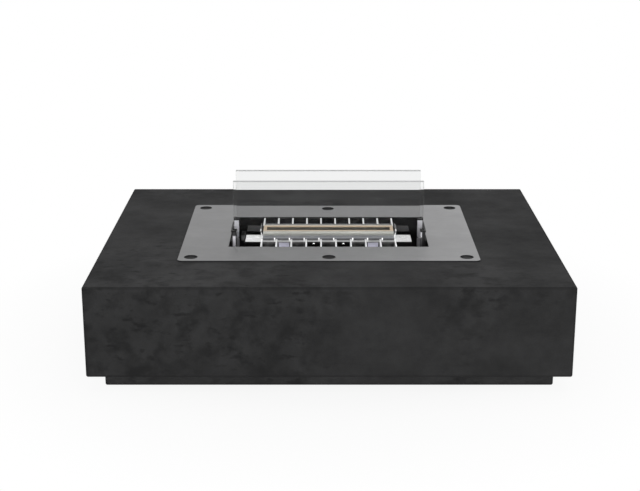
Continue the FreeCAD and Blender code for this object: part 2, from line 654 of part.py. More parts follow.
# Fuel reservoir: a folded box, open above, with a ported lid welded on
reservoir = finish(new_block("fuel_reservoir",
                             ("-places.reservoir_x", "-places.reservoir_y", "places.reservoir_bottom"),
                             ("places.reservoir_x", "places.reservoir_y", "places.lid_bottom")),
                   "fuel_reservoir")
hollow = new_sketch(reservoir, "reservoir_hollow", "XY_Plane", "places.lid_bottom")
draw_rectangle(hollow, "(places.reservoir_x - sizes.reservoir_gauge)",
               "(places.reservoir_y - sizes.reservoir_gauge)")
add_pocket(reservoir, hollow, "sizes.reservoir_height - sizes.reservoir_gauge")
lid = finish(new_block("reservoir_lid",
                       ("-places.reservoir_x", "-places.reservoir_y", "places.lid_bottom"),
                       ("places.reservoir_x", "places.reservoir_y", "places.lid_top")), "reservoir_lid")


def cut_ports(body, name, level, depth):
    """A row of ports, one in the middle of each cell between the fins."""
    for cell in PORT_CELLS:
        port = new_sketch(body, f"{name}_{cell + len(PORT_CELLS)}", "XY_Plane", level)
        middle = f"{cell} * places.fin_pitch"
        low, high = f"{middle} - places.port_length / 2", f"{middle} + places.port_length / 2"
        draw_outline(port, [(low, "-sizes.port_depth / 2"), (high, "-sizes.port_depth / 2"),
                            (high, "sizes.port_depth / 2"), (low, "sizes.port_depth / 2")])
        add_pocket(body, port, depth)


cut_ports(lid, "lid_port", "places.lid_top", "sizes.lid_gauge")

# Absorber block: porous ceramic that fills the reservoir and holds the fuel
finish(new_block("absorber_block",
                 ("-places.absorber_x", "-places.absorber_y", "places.absorber_bottom"),
                 ("places.absorber_x", "places.absorber_y", "places.absorber_top")), "absorber_block")

# Front and rear pieces of the burner, each pair drawn from one section
for end, sign in (("front", "-"), ("rear", "")):
    rail = new_prism(f"{end}_guide_rail", "YZ_Plane", [
        (f"{sign}places.reservoir_y", "places.lid_top"),
        (f"{sign}places.reservoir_y", "places.deck_under"),
        (f"{sign}places.rail_start", "places.deck_under"),
        (f"{sign}places.rail_start", "places.slide_top + sizes.slide_gap"),
        (f"{sign}(places.rail_start + sizes.rail_rebate)", "places.slide_top + sizes.slide_gap"),
        (f"{sign}(places.rail_start + sizes.rail_rebate)", "places.lid_top"),
    ], "-places.reservoir_x", "places.reservoir_x * 2")
    finish(rail, f"{end}_guide_rail")
    deck = new_prism(f"{end}_deck_strip", "YZ_Plane", [
        (f"{sign}places.slot_y", "places.deck_top"),
        (f"{sign}places.deck_y", "places.deck_top"),
        (f"{sign}places.deck_y", "places.deck_top - sizes.lip_height"),
        (f"{sign}places.reservoir_y", "places.deck_top - sizes.lip_height"),
        (f"{sign}places.reservoir_y", "places.deck_under"),
        (f"{sign}places.slot_y", "places.deck_under"),
    ], "-places.deck_x", "places.deck_x * 2")
    finish(deck, f"{end}_deck_strip")
    for piece, face, depth, radius in (
            (deck, "places.deck_y", "sizes.deck_gauge", "sizes.lip_screw_radius + sizes.screw_clearance"),
            (rail, "places.reservoir_y", "sizes.lip_screw_length - sizes.deck_gauge",
             "sizes.lip_screw_radius + sizes.thread_clearance")):
        offset = face if end == "front" else f"-{face}"
        holes = new_sketch(piece, f"{piece.Name}_holes", "XZ_Plane", offset)
        spots = [(f"{cell} * places.fin_pitch", "places.lip_screw_level") for cell in LIP_SCREW_CELLS]
        draw_circles(holes, spots, radius)
        add_pocket(piece, holes, depth, forward=end == "rear")
    channel = new_prism(f"{end}_glass_channel", "YZ_Plane", [
        (f"{sign}(places.glass_y - places.channel_half)", "places.deck_top"),
        (f"{sign}(places.glass_y + places.channel_half)", "places.deck_top"),
        (f"{sign}(places.glass_y + places.channel_half)", "places.deck_top + sizes.channel_height"),
        (f"{sign}(places.glass_y + places.seat_half)", "places.deck_top + sizes.channel_height"),
        (f"{sign}(places.glass_y + places.seat_half)", "places.seat_level"),
        (f"{sign}(places.glass_y - places.seat_half)", "places.seat_level"),
        (f"{sign}(places.glass_y - places.seat_half)", "places.deck_top + sizes.channel_height"),
        (f"{sign}(places.glass_y - places.channel_half)", "places.deck_top + sizes.channel_height"),
    ], "-places.head_x", "places.head_x * 2")
    finish(channel, f"{end}_glass_channel")
    fin_rail = new_block(f"{end}_fin_rail",
                         ("-places.fin_rail_x", f"{sign}places.fin_end", "places.fin_bottom"),
                         ("places.fin_rail_x", f"{sign}places.well_y", "places.concrete_top"))
    finish(fin_rail, f"{end}_fin_rail")
    middle = f"{sign}places.glass_y"
    pane = new_block(f"{end}_glass",
                     ("-places.glass_end", f"{middle} - sizes.glass_thickness / 2", "places.glass_bottom"),
                     ("places.glass_end", f"{middle} + sizes.glass_thickness / 2", "places.glass_top"))
    finish(pane, f"{end}_glass")

# Glass gaskets: silicone strips in the channels, under the panes
strip = new_block("glass_gasket",
                  ("-places.head_x", "-places.seat_half", "places.seat_level"),
                  ("places.head_x", "places.seat_half", "places.glass_bottom"))
new_group("glass_gaskets", strip, [spot_at(0, y, 0) for y in (-place("glass_y"), place("glass_y"))])

# Lip screws hold the deck strips to the guide rails
lip_xs = [cell * place("fin_pitch") for cell in LIP_SCREW_CELLS]
lip_face = place("deck_y")
lip_z = place("lip_screw_level")
new_group("lip_screws", new_screw("lip_screw", "lip_screw"),
          [spot_at(x, -lip_face, lip_z, ALONG_X, TOWARD_FRONT) for x in lip_xs]
          + [spot_at(x, lip_face, lip_z, ALONG_X, TOWARD_REAR) for x in lip_xs])

# Burner head: a raised folded cap over the slot, with the flame opening along its top
head = new_prism("burner_head", "YZ_Plane", [
    ("-places.head_y", "places.deck_top"),
    ("-places.head_y", "places.deck_top + sizes.head_height"),
    ("places.head_y", "places.deck_top + sizes.head_height"),
    ("places.head_y", "places.deck_top"),
    ("places.head_y - sizes.head_gauge", "places.deck_top"),
    ("places.head_y - sizes.head_gauge", "places.deck_top + sizes.head_height - sizes.head_gauge"),
    ("-(places.head_y - sizes.head_gauge)", "places.deck_top + sizes.head_height - sizes.head_gauge"),
    ("-(places.head_y - sizes.head_gauge)", "places.deck_top"),
], "-places.head_x", "places.head_x * 2")
finish(head, "burner_head")
flame_slot = new_sketch(head, "flame_slot", "XY_Plane", "places.deck_top + sizes.head_height")
draw_rectangle(flame_slot, "(places.head_x - places.slot_y / 2)", "places.slot_y")
add_pocket(head, flame_slot, "sizes.head_gauge")

# Head cheeks: leaning end plates that close the head
for end, sign in (("left", "-"), ("right", "")):
    cheek = new_prism(f"{end}_head_cheek", "XZ_Plane", [
        (f"{sign}places.head_x", "places.deck_top"),
        (f"{sign}(places.head_x + sizes.cheek_gauge)", "places.deck_top"),
        (f"{sign}(places.head_x + sizes.cheek_gauge + sizes.cheek_flare)",
         "places.deck_top + sizes.cheek_height"),
        (f"{sign}(places.head_x + sizes.cheek_flare)", "places.deck_top + sizes.cheek_height"),
    ], "-places.head_y", "sizes.head_span")
    finish(cheek, f"{end}_head_cheek")

# Fins: ten upright blades in front and ten behind, drawn once for the rear, the inner ones with a tick
blade = new_prism("fin_blade", "YZ_Plane", [
    ("places.fin_start", "places.deck_top"),
    ("places.fin_start", "places.deck_top + sizes.fin_rise"),
    ("places.fin_end", "places.deck_top + sizes.fin_rise"),
    ("places.fin_end", "places.fin_bottom"),
    ("places.deck_y", "places.fin_bottom"),
    ("places.deck_y", "places.deck_top"),
], "-sizes.fin_gauge / 2", "sizes.fin_gauge")
ticked = {}
for hand, sign in (("left", "-"), ("right", "")):
    tick = new_block(f"{hand}_tick",
                     ("0", "places.fin_start", "places.deck_top"),
                     (f"{sign}(sizes.fin_gauge / 2 + sizes.tick_width)",
                      "places.fin_start + sizes.tick_gauge", "places.deck_top + sizes.tick_height"))
    ticked[hand] = doc.addObject("Part::Fuse", f"{hand}_ticked_fin")
    ticked[hand].Base = blade
    ticked[hand].Tool = tick
    ticked[hand].Refine = True
doc.recompute()


def new_fins(label, turn):
    """One row of fins, with each tick on the outer side of its fin."""
    outer = max(FIN_HALVES)
    shapes = []
    for half in FIN_HALVES:
        hand = "left" if (half <= 1) == (turn == 0) else "right"
        master = blade if abs(half) == outer else ticked[hand]
        copy = master.Shape.copy()
        copy.Placement = spot_at(half * place("fin_pitch") / 2, 0, 0, angle=turn).multiply(copy.Placement)
        shapes.append(copy)
    fins = doc.addObject("Part::Feature", label)
    fins.Shape = Part.makeCompound(shapes)
    fins.Placement = FreeCAD.Placement()
    return finish(fins, label)


new_fins("front_fins", HALF_TURN)
new_fins("rear_fins", 0)

# Reservoir hangers: folded straps from the deck lips to the well's walls, drawn once for the rear
hanger = new_prism("reservoir_hanger", "YZ_Plane", [
    ("places.deck_y", "places.hanger_top - sizes.hanger_gauge"),
    ("places.deck_y", "places.deck_under"),
    ("places.deck_y + sizes.hanger_gauge", "places.deck_under"),
    ("places.deck_y + sizes.hanger_gauge", "places.hanger_top"),
    ("places.well_y", "places.hanger_top"),
    ("places.well_y", "places.hanger_top - sizes.hanger_leg"),
    ("places.well_y - sizes.hanger_gauge", "places.hanger_top - sizes.hanger_leg"),
    ("places.well_y - sizes.hanger_gauge", "places.hanger_top - sizes.hanger_gauge"),
], "-places.hanger_width / 2", "places.hanger_width")
new_group("reservoir_hangers", hanger,
          [spot_at(cell * place("fin_pitch"), 0, 0, angle=turn)
           for cell in HANGER_CELLS for turn in (0, HALF_TURN)])

# Regulator slide: a ported plate on the lid, with a tongue and an upright tab beyond the left end of the deck
slide = finish(new_block("regulator_slide",
                         ("-places.reservoir_x", "-places.slide_y", "places.slide_bottom"),
                         ("places.slide_right", "places.slide_y", "places.slide_top")), "regulator_slide")
cut_ports(slide, "slide_port", "places.slide_top", "sizes.slide_gauge")
TAB_LOW = "-places.tab_side"
TAB_HIGH = "-places.tab_side + sizes.tab_width"
TAB_FACE = "-places.tab_face"
TAB_BACK = "-places.tab_face - sizes.slide_gauge"
tongue = new_sketch(slide, "slide_tongue", "XY_Plane", "places.slide_bottom")
draw_outline(tongue, [(TAB_FACE, TAB_LOW), ("-places.reservoir_x", TAB_LOW),
                      ("-places.reservoir_x", TAB_HIGH), (TAB_FACE, TAB_HIGH)])
add_pad(slide, tongue, "sizes.slide_gauge")
TAB_OUTLINE = [(TAB_BACK, TAB_LOW), (TAB_FACE, TAB_LOW), (TAB_FACE, TAB_HIGH), (TAB_BACK, TAB_HIGH)]
tab = new_sketch(slide, "slide_tab", "XY_Plane", "places.slide_bottom")
draw_outline(tab, TAB_OUTLINE)
add_pad(slide, tab, "places.tab_top - places.slide_bottom")

# Regulator grip: a heat-proof black sleeve pushed over the tab
grip = finish(new_block("regulator_grip",
                        (f"{TAB_BACK} - sizes.grip_gauge", f"{TAB_LOW} - sizes.grip_gauge",
                         "places.tab_top + sizes.grip_gauge - sizes.grip_height"),
                        (f"{TAB_FACE} + sizes.grip_gauge", f"{TAB_HIGH} + sizes.grip_gauge",
                         "places.tab_top + sizes.grip_gauge")), "regulator_grip")
pouch = new_sketch(grip, "grip_pouch", "XY_Plane", "places.tab_top")
draw_outline(pouch, TAB_OUTLINE)
add_pocket(grip, pouch, "sizes.grip_height - sizes.grip_gauge")

# Check every object and every sub-part, then write the files
doc.recompute()
for item in doc.Objects:
    if "Invalid" in item.State or "Error" in item.State:
        raise RuntimeError(f"{item.Label} did not build: {item.State}")
os.makedirs("parts", exist_ok=True)
for item in finished:
    if item.Shape.isNull() or not item.Shape.isValid():
        raise RuntimeError(f"{item.Label} has no valid shape")
    item.Shape.exportStep(os.path.join("parts", f"{item.Label}.step"))
    print(item.Label, len(item.Shape.Solids), round(item.Shape.Volume))
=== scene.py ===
"""Tabletop fire pit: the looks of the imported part, in metres, in the part's own frame."""

import math

import bpy
from mathutils import Matrix, Vector


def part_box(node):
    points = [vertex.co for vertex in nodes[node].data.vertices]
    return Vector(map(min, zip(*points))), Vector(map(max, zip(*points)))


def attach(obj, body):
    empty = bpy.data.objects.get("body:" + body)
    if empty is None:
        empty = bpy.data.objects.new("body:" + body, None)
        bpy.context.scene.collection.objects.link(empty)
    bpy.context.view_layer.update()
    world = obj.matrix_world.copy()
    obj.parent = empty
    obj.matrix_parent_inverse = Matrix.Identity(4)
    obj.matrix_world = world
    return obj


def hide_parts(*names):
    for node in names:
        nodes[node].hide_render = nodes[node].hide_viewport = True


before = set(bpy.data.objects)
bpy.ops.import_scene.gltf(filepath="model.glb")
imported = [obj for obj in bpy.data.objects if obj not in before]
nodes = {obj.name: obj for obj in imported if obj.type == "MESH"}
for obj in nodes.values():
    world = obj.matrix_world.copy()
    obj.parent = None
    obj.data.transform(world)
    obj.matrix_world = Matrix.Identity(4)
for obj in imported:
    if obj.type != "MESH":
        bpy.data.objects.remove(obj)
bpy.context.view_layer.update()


# Foot pads: four moulded rubber discs, let into the underside of the plinth and screwed there.
# The rubber is dull black, a little greyer where the mould was dusted.
def grey(value):
    """A neutral colour."""
    return (value, value, value, 1)


def add_node(material, kind, wires, **settings):
    """A shader node, with its inputs set to values or wired to sockets."""
    node = material.node_tree.nodes.new(f"ShaderNode{kind}")
    for name, value in settings.items():
        setattr(node, name, value)
    for slot, source in wires.items():
        if isinstance(source, bpy.types.NodeSocket):
            material.node_tree.links.new(source, node.inputs[slot])
        else:
            node.inputs[slot].default_value = source
    return node


def new_finish(name, constants):
    """A material of one Principled shader, with its even values on the shader's own sockets."""
    material = bpy.data.materials.new(name)
    material.use_nodes = True
    shader = material.node_tree.nodes["Principled BSDF"]
    for socket, value in constants.items():
        shader.inputs[socket].default_value = value
    return material, shader


def wire(material, source, shader, socket):
    """Let a pattern drive one socket of the shader."""
    material.node_tree.links.new(source, shader.inputs[socket])


def grain(material, scale, detail=4.0, rough=0.5, stretch=(1, 1, 1), swirl=0.0):
    """Noise on the piece's own Object coordinates, as a grey pattern."""
    place = add_node(material, "TexCoord", {})
    mapped = add_node(material, "Mapping", {"Vector": place.outputs["Object"], "Scale": stretch})
    wires = {"Vector": mapped.outputs["Vector"], "Scale": scale, "Detail": detail,
             "Roughness": rough, "Distortion": swirl}
    return add_node(material, "TexNoise", wires).outputs["Fac"]


def spread(material, pattern, start, end, low=0, high=1):
    """A grey pattern, stretched from one range of values to another."""
    wires = {"Value": pattern, "From Min": start, "From Max": end, "To Min": low, "To Max": high}
    return add_node(material, "MapRange", wires).outputs["Result"]


def blend(material, amount, first, second, how="MIX"):
    """Two colours, mixed by a pattern or a number."""
    wires = {"Factor": amount, 6: first, 7: second}
    return add_node(material, "Mix", wires, data_type="RGBA", blend_type=how).outputs[2]


def emboss(material, shader, pattern, height, strength):
    """Raise the surface where a pattern is bright."""
    wires = {"Height": pattern, "Distance": height, "Strength": strength}
    bump = add_node(material, "Bump", wires)
    wire(material, bump.outputs["Normal"], shader, "Normal")


def dress(material, *names):
    """Give CAD nodes a finish."""
    for name in names:
        mesh = nodes[name].data
        mesh.materials.clear()
        mesh.materials.append(material)


def rubber_finish(name, dark, dusty):
    """Moulded rubber with a faint dusty bloom."""
    material, shader = new_finish(name, {"Specular IOR Level": 0.35})
    bloom = spread(material, grain(material, 60, detail=5, rough=0.6), 0.35, 0.7)
    wire(material, blend(material, bloom, grey(dark), grey(dusty)), shader, "Base Color")
    wire(material, spread(material, bloom, 0, 1, 0.55, 0.8), shader, "Roughness")
    emboss(material, shader, grain(material, 2500, detail=2), height=0.0001, strength=0.25)
    return material, shader


foot_rubber, _ = rubber_finish("foot_rubber", dark=0.012, dusty=0.022)
dress(foot_rubber, "foot_pads")


# Screws, nuts and folded wall brackets: zinc-plated steel, turned from bar or bent from sheet.
# They sit under the body and inside it, and hold pads, plinth, board, walls and side brackets.
def metal_finish(name, colour, shade, rough, marks, depth=0.00003):
    """Metal with fine rolling or brushing marks in its colour, its roughness and its surface."""
    material, shader = new_finish(name, {"Metallic": 1.0})
    lines = grain(material, 1, detail=3, rough=0.55, stretch=marks)
    patches = grain(material, 18, detail=4, rough=0.6)
    wear = blend(material, 0.5, lines, patches)
    even = spread(material, wear, 0.32, 0.68)
    wire(material, blend(material, even, (*shade, 1), (*colour, 1)), shader, "Base Color")
    wire(material, spread(material, even, 0, 1, rough[1], rough[0]), shader, "Roughness")
    emboss(material, shader, lines, height=depth, strength=0.3)
    return material, shader


ROLLED = (700, 700, 90)
zinc, _ = metal_finish("zinc_plate", colour=(0.52, 0.53, 0.56), shade=(0.40, 0.41, 0.42),
                       rough=(0.32, 0.5), marks=ROLLED)
dress(zinc, "foot_screws", "plinth_screws", "board_screws", "wall_screws", "wall_brackets",
      "side_bracket_screws", "side_bracket_nuts")


# Base board: a flat fibre-cement panel that closes the body from below.
# Pressed grey board with pale fibre flecks, left raw because it isn't seen in use.
BOARD_DARK = (0.235, 0.23, 0.22, 1)
BOARD_PALE = (0.315, 0.305, 0.285, 1)
BOARD_FLECK = (0.44, 0.43, 0.40, 1)
FIBRE_LIE = (1, 0.25, 1)
board_finish, board_shader = new_finish("fibre_cement",
                                        {"Specular IOR Level": 0.25, "Roughness": 0.9})
flecks = spread(board_finish, grain(board_finish, 320, detail=3, stretch=FIBRE_LIE), 0.56, 0.7)
board_cloud = spread(board_finish, grain(board_finish, 14, detail=5), 0.3, 0.7)
board_base = blend(board_finish, board_cloud, BOARD_DARK, BOARD_PALE)
board_colour = blend(board_finish, flecks, board_base, BOARD_FLECK)
wire(board_finish, board_colour, board_shader, "Base Color")
board_skin = grain(board_finish, 700, detail=3)
emboss(board_finish, board_shader, board_skin, height=0.0003, strength=0.4)
dress(board_finish, "base_board")


# Base plinth and body: charcoal fibre concrete, cast in smooth moulds and then sealed.
# Slow clouds, trowel smears and darker damp patches run over it. Painted shade darkens it along
# its edges, and painted light brightens the plinth in the shade under the body.
def object_axes(material):
    """The piece's own X, Y and Z, as three patterns."""
    place = add_node(material, "TexCoord", {})
    return add_node(material, "SeparateXYZ", {"Vector": place.outputs["Object"]}).outputs


def combine(material, how, first, second=0.0):
    """Two patterns or numbers, joined by a sum such as MINIMUM or MULTIPLY."""
    return add_node(material, "Math", {0: first, 1: second}, operation=how).outputs[0]


def along_edges(material, low, high, width):
    """1 along the edges of a box, fading to 0 a little way in from them."""
    axes = object_axes(material)
    near = []
    for axis in range(3):
        middle = (low[axis] + high[axis]) / 2
        half = (high[axis] - low[axis]) / 2
        reach = combine(material, "ABSOLUTE", combine(material, "SUBTRACT", axes[axis], middle))
        near.append(spread(material, reach, half - width, half))
    edge = 0.0
    for first, second in ((0, 1), (0, 2), (1, 2)):
        near_both = combine(material, "MINIMUM", near[first], near[second])
        edge = combine(material, "MAXIMUM", near_both, edge)
    return edge


CONCRETE_PIT = (0.0210, 0.0210, 0.0213, 1)
CONCRETE_DAMP = (0.0240, 0.0240, 0.0244, 1)
CONCRETE_DARK = (0.0325, 0.0325, 0.0330, 1)
CONCRETE_PALE = (0.0540, 0.0540, 0.0547, 1)
CONCRETE_EDGE_SHADE = (0.0220, 0.0220, 0.0223, 1)
EDGE_SHADE_WIDTH = 0.004
# The plinth is painted lighter than the body, as painted light in its recess under the body.
PLINTH_PAINTED_LIGHT = 1.4
BODY_PAINTED_LIGHT = 1.0


def concrete_finish(name, low, high, painted_light):
    """Charcoal concrete for one cast piece, lit up by painted light, with painted shade on its
    edges.
    """
    material, shader = new_finish(name, {"Specular IOR Level": 0.06})
    cloud = grain(material, 9, detail=2, rough=0.45)
    blotch = grain(material, 30, detail=3, rough=0.5)
    fine = grain(material, 95, detail=3, rough=0.55)
    region = grain(material, 4.5, detail=1, stretch=(-1, 1, 1))
    damp = grain(material, 40, detail=3, rough=0.55, stretch=(-1, 1, 1))
    pits = grain(material, 110, detail=3, rough=0.5, stretch=(-0.55, 1, 1))
    smear = grain(material, 38, detail=4, rough=0.55, stretch=(0.35, 1, 1))
    speck = grain(material, 900, detail=2)
    tone = blend(material, 0.2, blend(material, 0.45, cloud, blotch), fine)
    clouded = blend(material, spread(material, tone, 0.36, 0.64), CONCRETE_DARK, CONCRETE_PALE)
    rough_side = spread(material, region, 0.42, 0.6, 0.1, 1)
    side_tone = spread(material, rough_side, 0.1, 1, 0.93 * painted_light, 1.03 * painted_light)
    pale = blend(material, 1.0, clouded, side_tone, "MULTIPLY")
    damp_spots = spread(material, damp, 0.47, 0.68, 0, 0.85)
    damp_share = combine(material, "MULTIPLY", damp_spots, rough_side)
    patched = blend(material, damp_share, pale, CONCRETE_DAMP)
    pit_spots = spread(material, pits, 0.57, 0.72, 0, 0.8)
    pit_share = combine(material, "MULTIPLY", pit_spots, rough_side)
    pitted = blend(material, pit_share, patched, CONCRETE_PIT)
    wiped = blend(material, spread(material, smear, 0.56, 0.74, 0, 0.35), pitted, CONCRETE_PALE)
    # Painted shade along the edges of the box.
    edge_shade = along_edges(material, low, high, EDGE_SHADE_WIDTH)
    uneven = spread(material, smear, 0.3, 0.6, 0.4, 0.8)
    edge_shaded = blend(material, combine(material, "MULTIPLY", edge_shade, uneven), wiped, CONCRETE_EDGE_SHADE)
    grained = spread(material, speck, 0.3, 0.7, 0.9, 1.1)
    wire(material, blend(material, 1.0, edge_shaded, grained, "MULTIPLY"), shader, "Base Color")
    wire(material, spread(material, cloud, 0.3, 0.7, 0.9, 0.72), shader, "Roughness")
    skin = blend(material, 0.35, smear, speck)
    emboss(material, shader, skin, height=0.0006, strength=0.35)
    return material


for cast, painted_light in (("base_plinth", PLINTH_PAINTED_LIGHT), ("concrete_body", BODY_PAINTED_LIGHT)):
    dress(concrete_finish(f"{cast}_concrete", *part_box(cast), painted_light), cast)


# Wall anchors: threaded brass sleeves cast into the walls, turned from bar.
# The brass has dulled in the wet concrete.
brass, _ = metal_finish("turned_brass", colour=(0.58, 0.43, 0.18), shade=(0.36, 0.27, 0.13),
                        rough=(0.3, 0.5), marks=ROLLED)
dress(brass, "wall_anchors")


# Burner well: a folded steel box welded under the plate, in matt heat-proof black enamel.
# The enamel has a slight orange peel, is greyer where wiping has dulled it, and gathers ash
# low down.
ENAMEL_BLACK = grey(0.003)
ENAMEL_DULL = grey(0.006)
ASH_GREY = grey(0.05)
ASH_SHARE = 0.4
ASH_DEPTH = 0.03
well_low, well_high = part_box("burner_well")
well_enamel, well_shader = new_finish("black_enamel", {"Specular IOR Level": 0.07})
dulled = spread(well_enamel, grain(well_enamel, 22, detail=5, rough=0.6), 0.4, 0.7)
clean_enamel = blend(well_enamel, dulled, ENAMEL_BLACK, ENAMEL_DULL)
well_level = object_axes(well_enamel)["Z"]
ash = spread(well_enamel, well_level, well_high.z - ASH_DEPTH, well_high.z, ASH_SHARE, 0)
wire(well_enamel, blend(well_enamel, ash, clean_enamel, ASH_GREY), well_shader, "Base Color")
wire(well_enamel, spread(well_enamel, dulled, 0, 1, 0.5, 0.75), well_shader, "Roughness")
orange_peel = grain(well_enamel, 900, detail=2)
emboss(well_enamel, well_shader, orange_peel, height=0.0002, strength=0.3)
dress(well_enamel, "burner_well")


# Top plate: a laser-cut sheet of stainless steel, brushed along its length, laid on the concrete.
# Its edges, the burner cutout and the six plain holes are deburred, and darkened by the cutting
# and by painted shade.
def clear_selection():
    """Nothing is selected, so that an operator acts on the new piece alone."""
    bpy.ops.object.select_all(action="DESELECT")


def new_block(name, low, high):
    """A block between two corners, with its place in its mesh."""
    clear_selection()
    middle = [(first + second) / 2 for first, second in zip(low, high)]
    bpy.ops.mesh.primitive_cube_add(size=1, location=middle)
    piece = bpy.context.object
    piece.name = name
    piece.scale = [second - first for first, second in zip(low, high)]
    bpy.ops.object.transform_apply(location=True, rotation=True, scale=True)
    return piece


def new_bar(middle, radius, length, sides, turn=(0, 0, 0)):
    """A round or many-sided bar about a point, upright unless it is turned."""
    clear_selection()
    bpy.ops.mesh.primitive_cylinder_add(vertices=sides, radius=radius, depth=length,
                                        location=middle, rotation=turn)
    return bpy.context.object


def round_edges(piece, wanted, radius, segments):
    """Round those edges of a piece that the test picks by their two ends."""
    clear_selection()
    piece.select_set(True)
    bpy.context.view_layer.objects.active = piece
    bpy.ops.object.mode_set(mode="EDIT")
    bpy.ops.mesh.select_mode(type="EDGE")
    bpy.ops.mesh.select_all(action="DESELECT")
    bpy.ops.object.mode_set(mode="OBJECT")
    points = piece.data.vertices
    for edge in piece.data.edges:
        first, second = edge.vertices
        edge.select = wanted(points[first].co, points[second].co)
    bpy.ops.object.mode_set(mode="EDIT")
    bpy.ops.mesh.bevel(offset=radius, segments=segments, affect="EDGES")
    bpy.ops.object.mode_set(mode="OBJECT")


def apply_modifier(piece, modifier):
    """Make a modifier's result the piece's own mesh."""
    bpy.context.view_layer.objects.active = piece
    bpy.ops.object.modifier_apply(modifier=modifier.name)


def cut_away(piece, cutter):
    """Cut one solid out of a piece, and drop the cutter."""
    cut = piece.modifiers.new("cut", "BOOLEAN")
    cut.operation = "DIFFERENCE"
    cut.solver = "EXACT"
    cut.object = cutter
    apply_modifier(piece, cut)
    bpy.data.objects.remove(cutter, do_unlink=True)


SHARP_ANGLE = math.radians(50)


def break_edges(piece, width, segments=2):
    """Take the sharpness off every edge of a piece, with smooth rounds and flat faces."""
    clear_selection()
    piece.select_set(True)
    bpy.context.view_layer.objects.active = piece
    bpy.ops.object.shade_smooth()
    arris = piece.modifiers.new("arris", "BEVEL")
    arris.width = width
    arris.segments = segments
    arris.limit_method = "ANGLE"
    arris.angle_limit = SHARP_ANGLE
    arris.harden_normals = True
    apply_modifier(piece, arris)


def stand_for(piece, body, slot, material, *names):
    """Put a modelled piece in the place of CAD nodes."""
    piece.data.materials.clear()
    piece.data.materials.append(material)
    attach(piece, body)
    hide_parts(*names)


def is_upright(first, second):
    """True for an edge along Z."""
    across = Vector((first.x - second.x, first.y - second.y)).length
    return abs(first.z - second.z) > across


def coat(material, shader, share, colour, how="MIX"):
    """Lay a colour over the one that the shader has, as far as a pattern says."""
    under = shader.inputs["Base Color"].links[0].from_socket
    wire(material, blend(material, share, under, colour, how), shader, "Base Color")


PLATE_CORNER = 0.0065
PLATE_HOLE_RADIUS = 0.0085
PLATE_HOLE_INSET = 0.0165
PLATE_ARRIS = 0.0003
SHEET = 0.0015
CUT_MARGIN = 0.002
BRUSHED = (45, 2600, 45)
PLATE_LEFT_PAINTED_LIGHT = 0.82
PLATE_RIGHT_PAINTED_LIGHT = 1.15
CUT_FACE = 0.95
plate_low, plate_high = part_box("top_plate")
plate = new_block("brushed_top_plate", plate_low, plate_high)
round_edges(plate, is_upright, PLATE_CORNER, segments=8)
cutout = new_block("cutout",
                   (well_low.x + SHEET, well_low.y + SHEET, plate_low.z - CUT_MARGIN),
                   (well_high.x - SHEET, well_high.y - SHEET, plate_high.z + CUT_MARGIN))
cut_away(plate, cutout)
plate_middle = (plate_low.z + plate_high.z) / 2
hole_x = plate_high.x - PLATE_HOLE_INSET
hole_y = plate_high.y - PLATE_HOLE_INSET
for x in (-hole_x, 0, hole_x):
    for y in (-hole_y, hole_y):
        drill = new_bar((x, y, plate_middle), PLATE_HOLE_RADIUS, SHEET + 2 * CUT_MARGIN, sides=48)
        cut_away(plate, drill)
break_edges(plate, PLATE_ARRIS)
plate_steel, plate_shader = metal_finish(
    "brushed_plate_steel", colour=(0.210, 0.210, 0.213), shade=(0.181, 0.181, 0.184),
    rough=(0.34, 0.44), marks=BRUSHED)
# Painted light: the plate is painted darker at its left end and lighter at its right.
along_plate = object_axes(plate_steel)["X"]
painted_light_rightward = spread(plate_steel, along_plate, plate_low.x, plate_high.x,
                     PLATE_LEFT_PAINTED_LIGHT, PLATE_RIGHT_PAINTED_LIGHT)
coat(plate_steel, plate_shader, 1.0, painted_light_rightward, "MULTIPLY")
# The cut faces and their rims are dark, partly from the cutting and partly as painted shade.
cut_edge_and_shade, _ = metal_finish("laser_cut_edge_and_shade", colour=(0.055, 0.055, 0.057),
                           shade=(0.030, 0.030, 0.031), rough=(0.4, 0.55), marks=ROLLED)
stand_for(plate, "fire_pit", "stainless_plate", plate_steel, "top_plate")
plate.data.materials.append(cut_edge_and_shade)
for face in plate.data.polygons:
    if abs(face.normal.z) < CUT_FACE:
        face.material_index = 1


# Side brackets: steel plates with an upright lug, screwed to the short walls of the well.
# They are painted black, and the paint is rubbed a little greyer in places.
BRACKET_BLACK = grey(0.007)
BRACKET_RUBBED = grey(0.016)
bracket_paint, bracket_shader = new_finish("bracket_paint", {"Specular IOR Level": 0.2})
rubbed = spread(bracket_paint, grain(bracket_paint, 45, detail=5, rough=0.6), 0.45, 0.7)
bracket_colour = blend(bracket_paint, rubbed, BRACKET_BLACK, BRACKET_RUBBED)
wire(bracket_paint, bracket_colour, bracket_shader, "Base Color")
wire(bracket_paint, spread(bracket_paint, rubbed, 0, 1, 0.45, 0.65), bracket_shader, "Roughness")
bracket_skin = grain(bracket_paint, 1400, detail=2)
emboss(bracket_paint, bracket_shader, bracket_skin, height=0.0001, strength=0.3)
dress(bracket_paint, "left_side_bracket", "right_side_bracket")


# Reservoir, lid, rails and slide: mild steel, darkened by heat.
# They are folded or milled, screwed or spot-welded together, and sit inside the well.
dark_steel, _ = metal_finish("heat_darkened_steel", colour=(0.032, 0.032, 0.035),
                             shade=(0.016, 0.016, 0.017), rough=(0.38, 0.58), marks=ROLLED)
dress(dark_steel, "fuel_reservoir", "reservoir_lid", "front_guide_rail", "rear_guide_rail",
      "front_fin_rail", "rear_fin_rail", "regulator_slide")


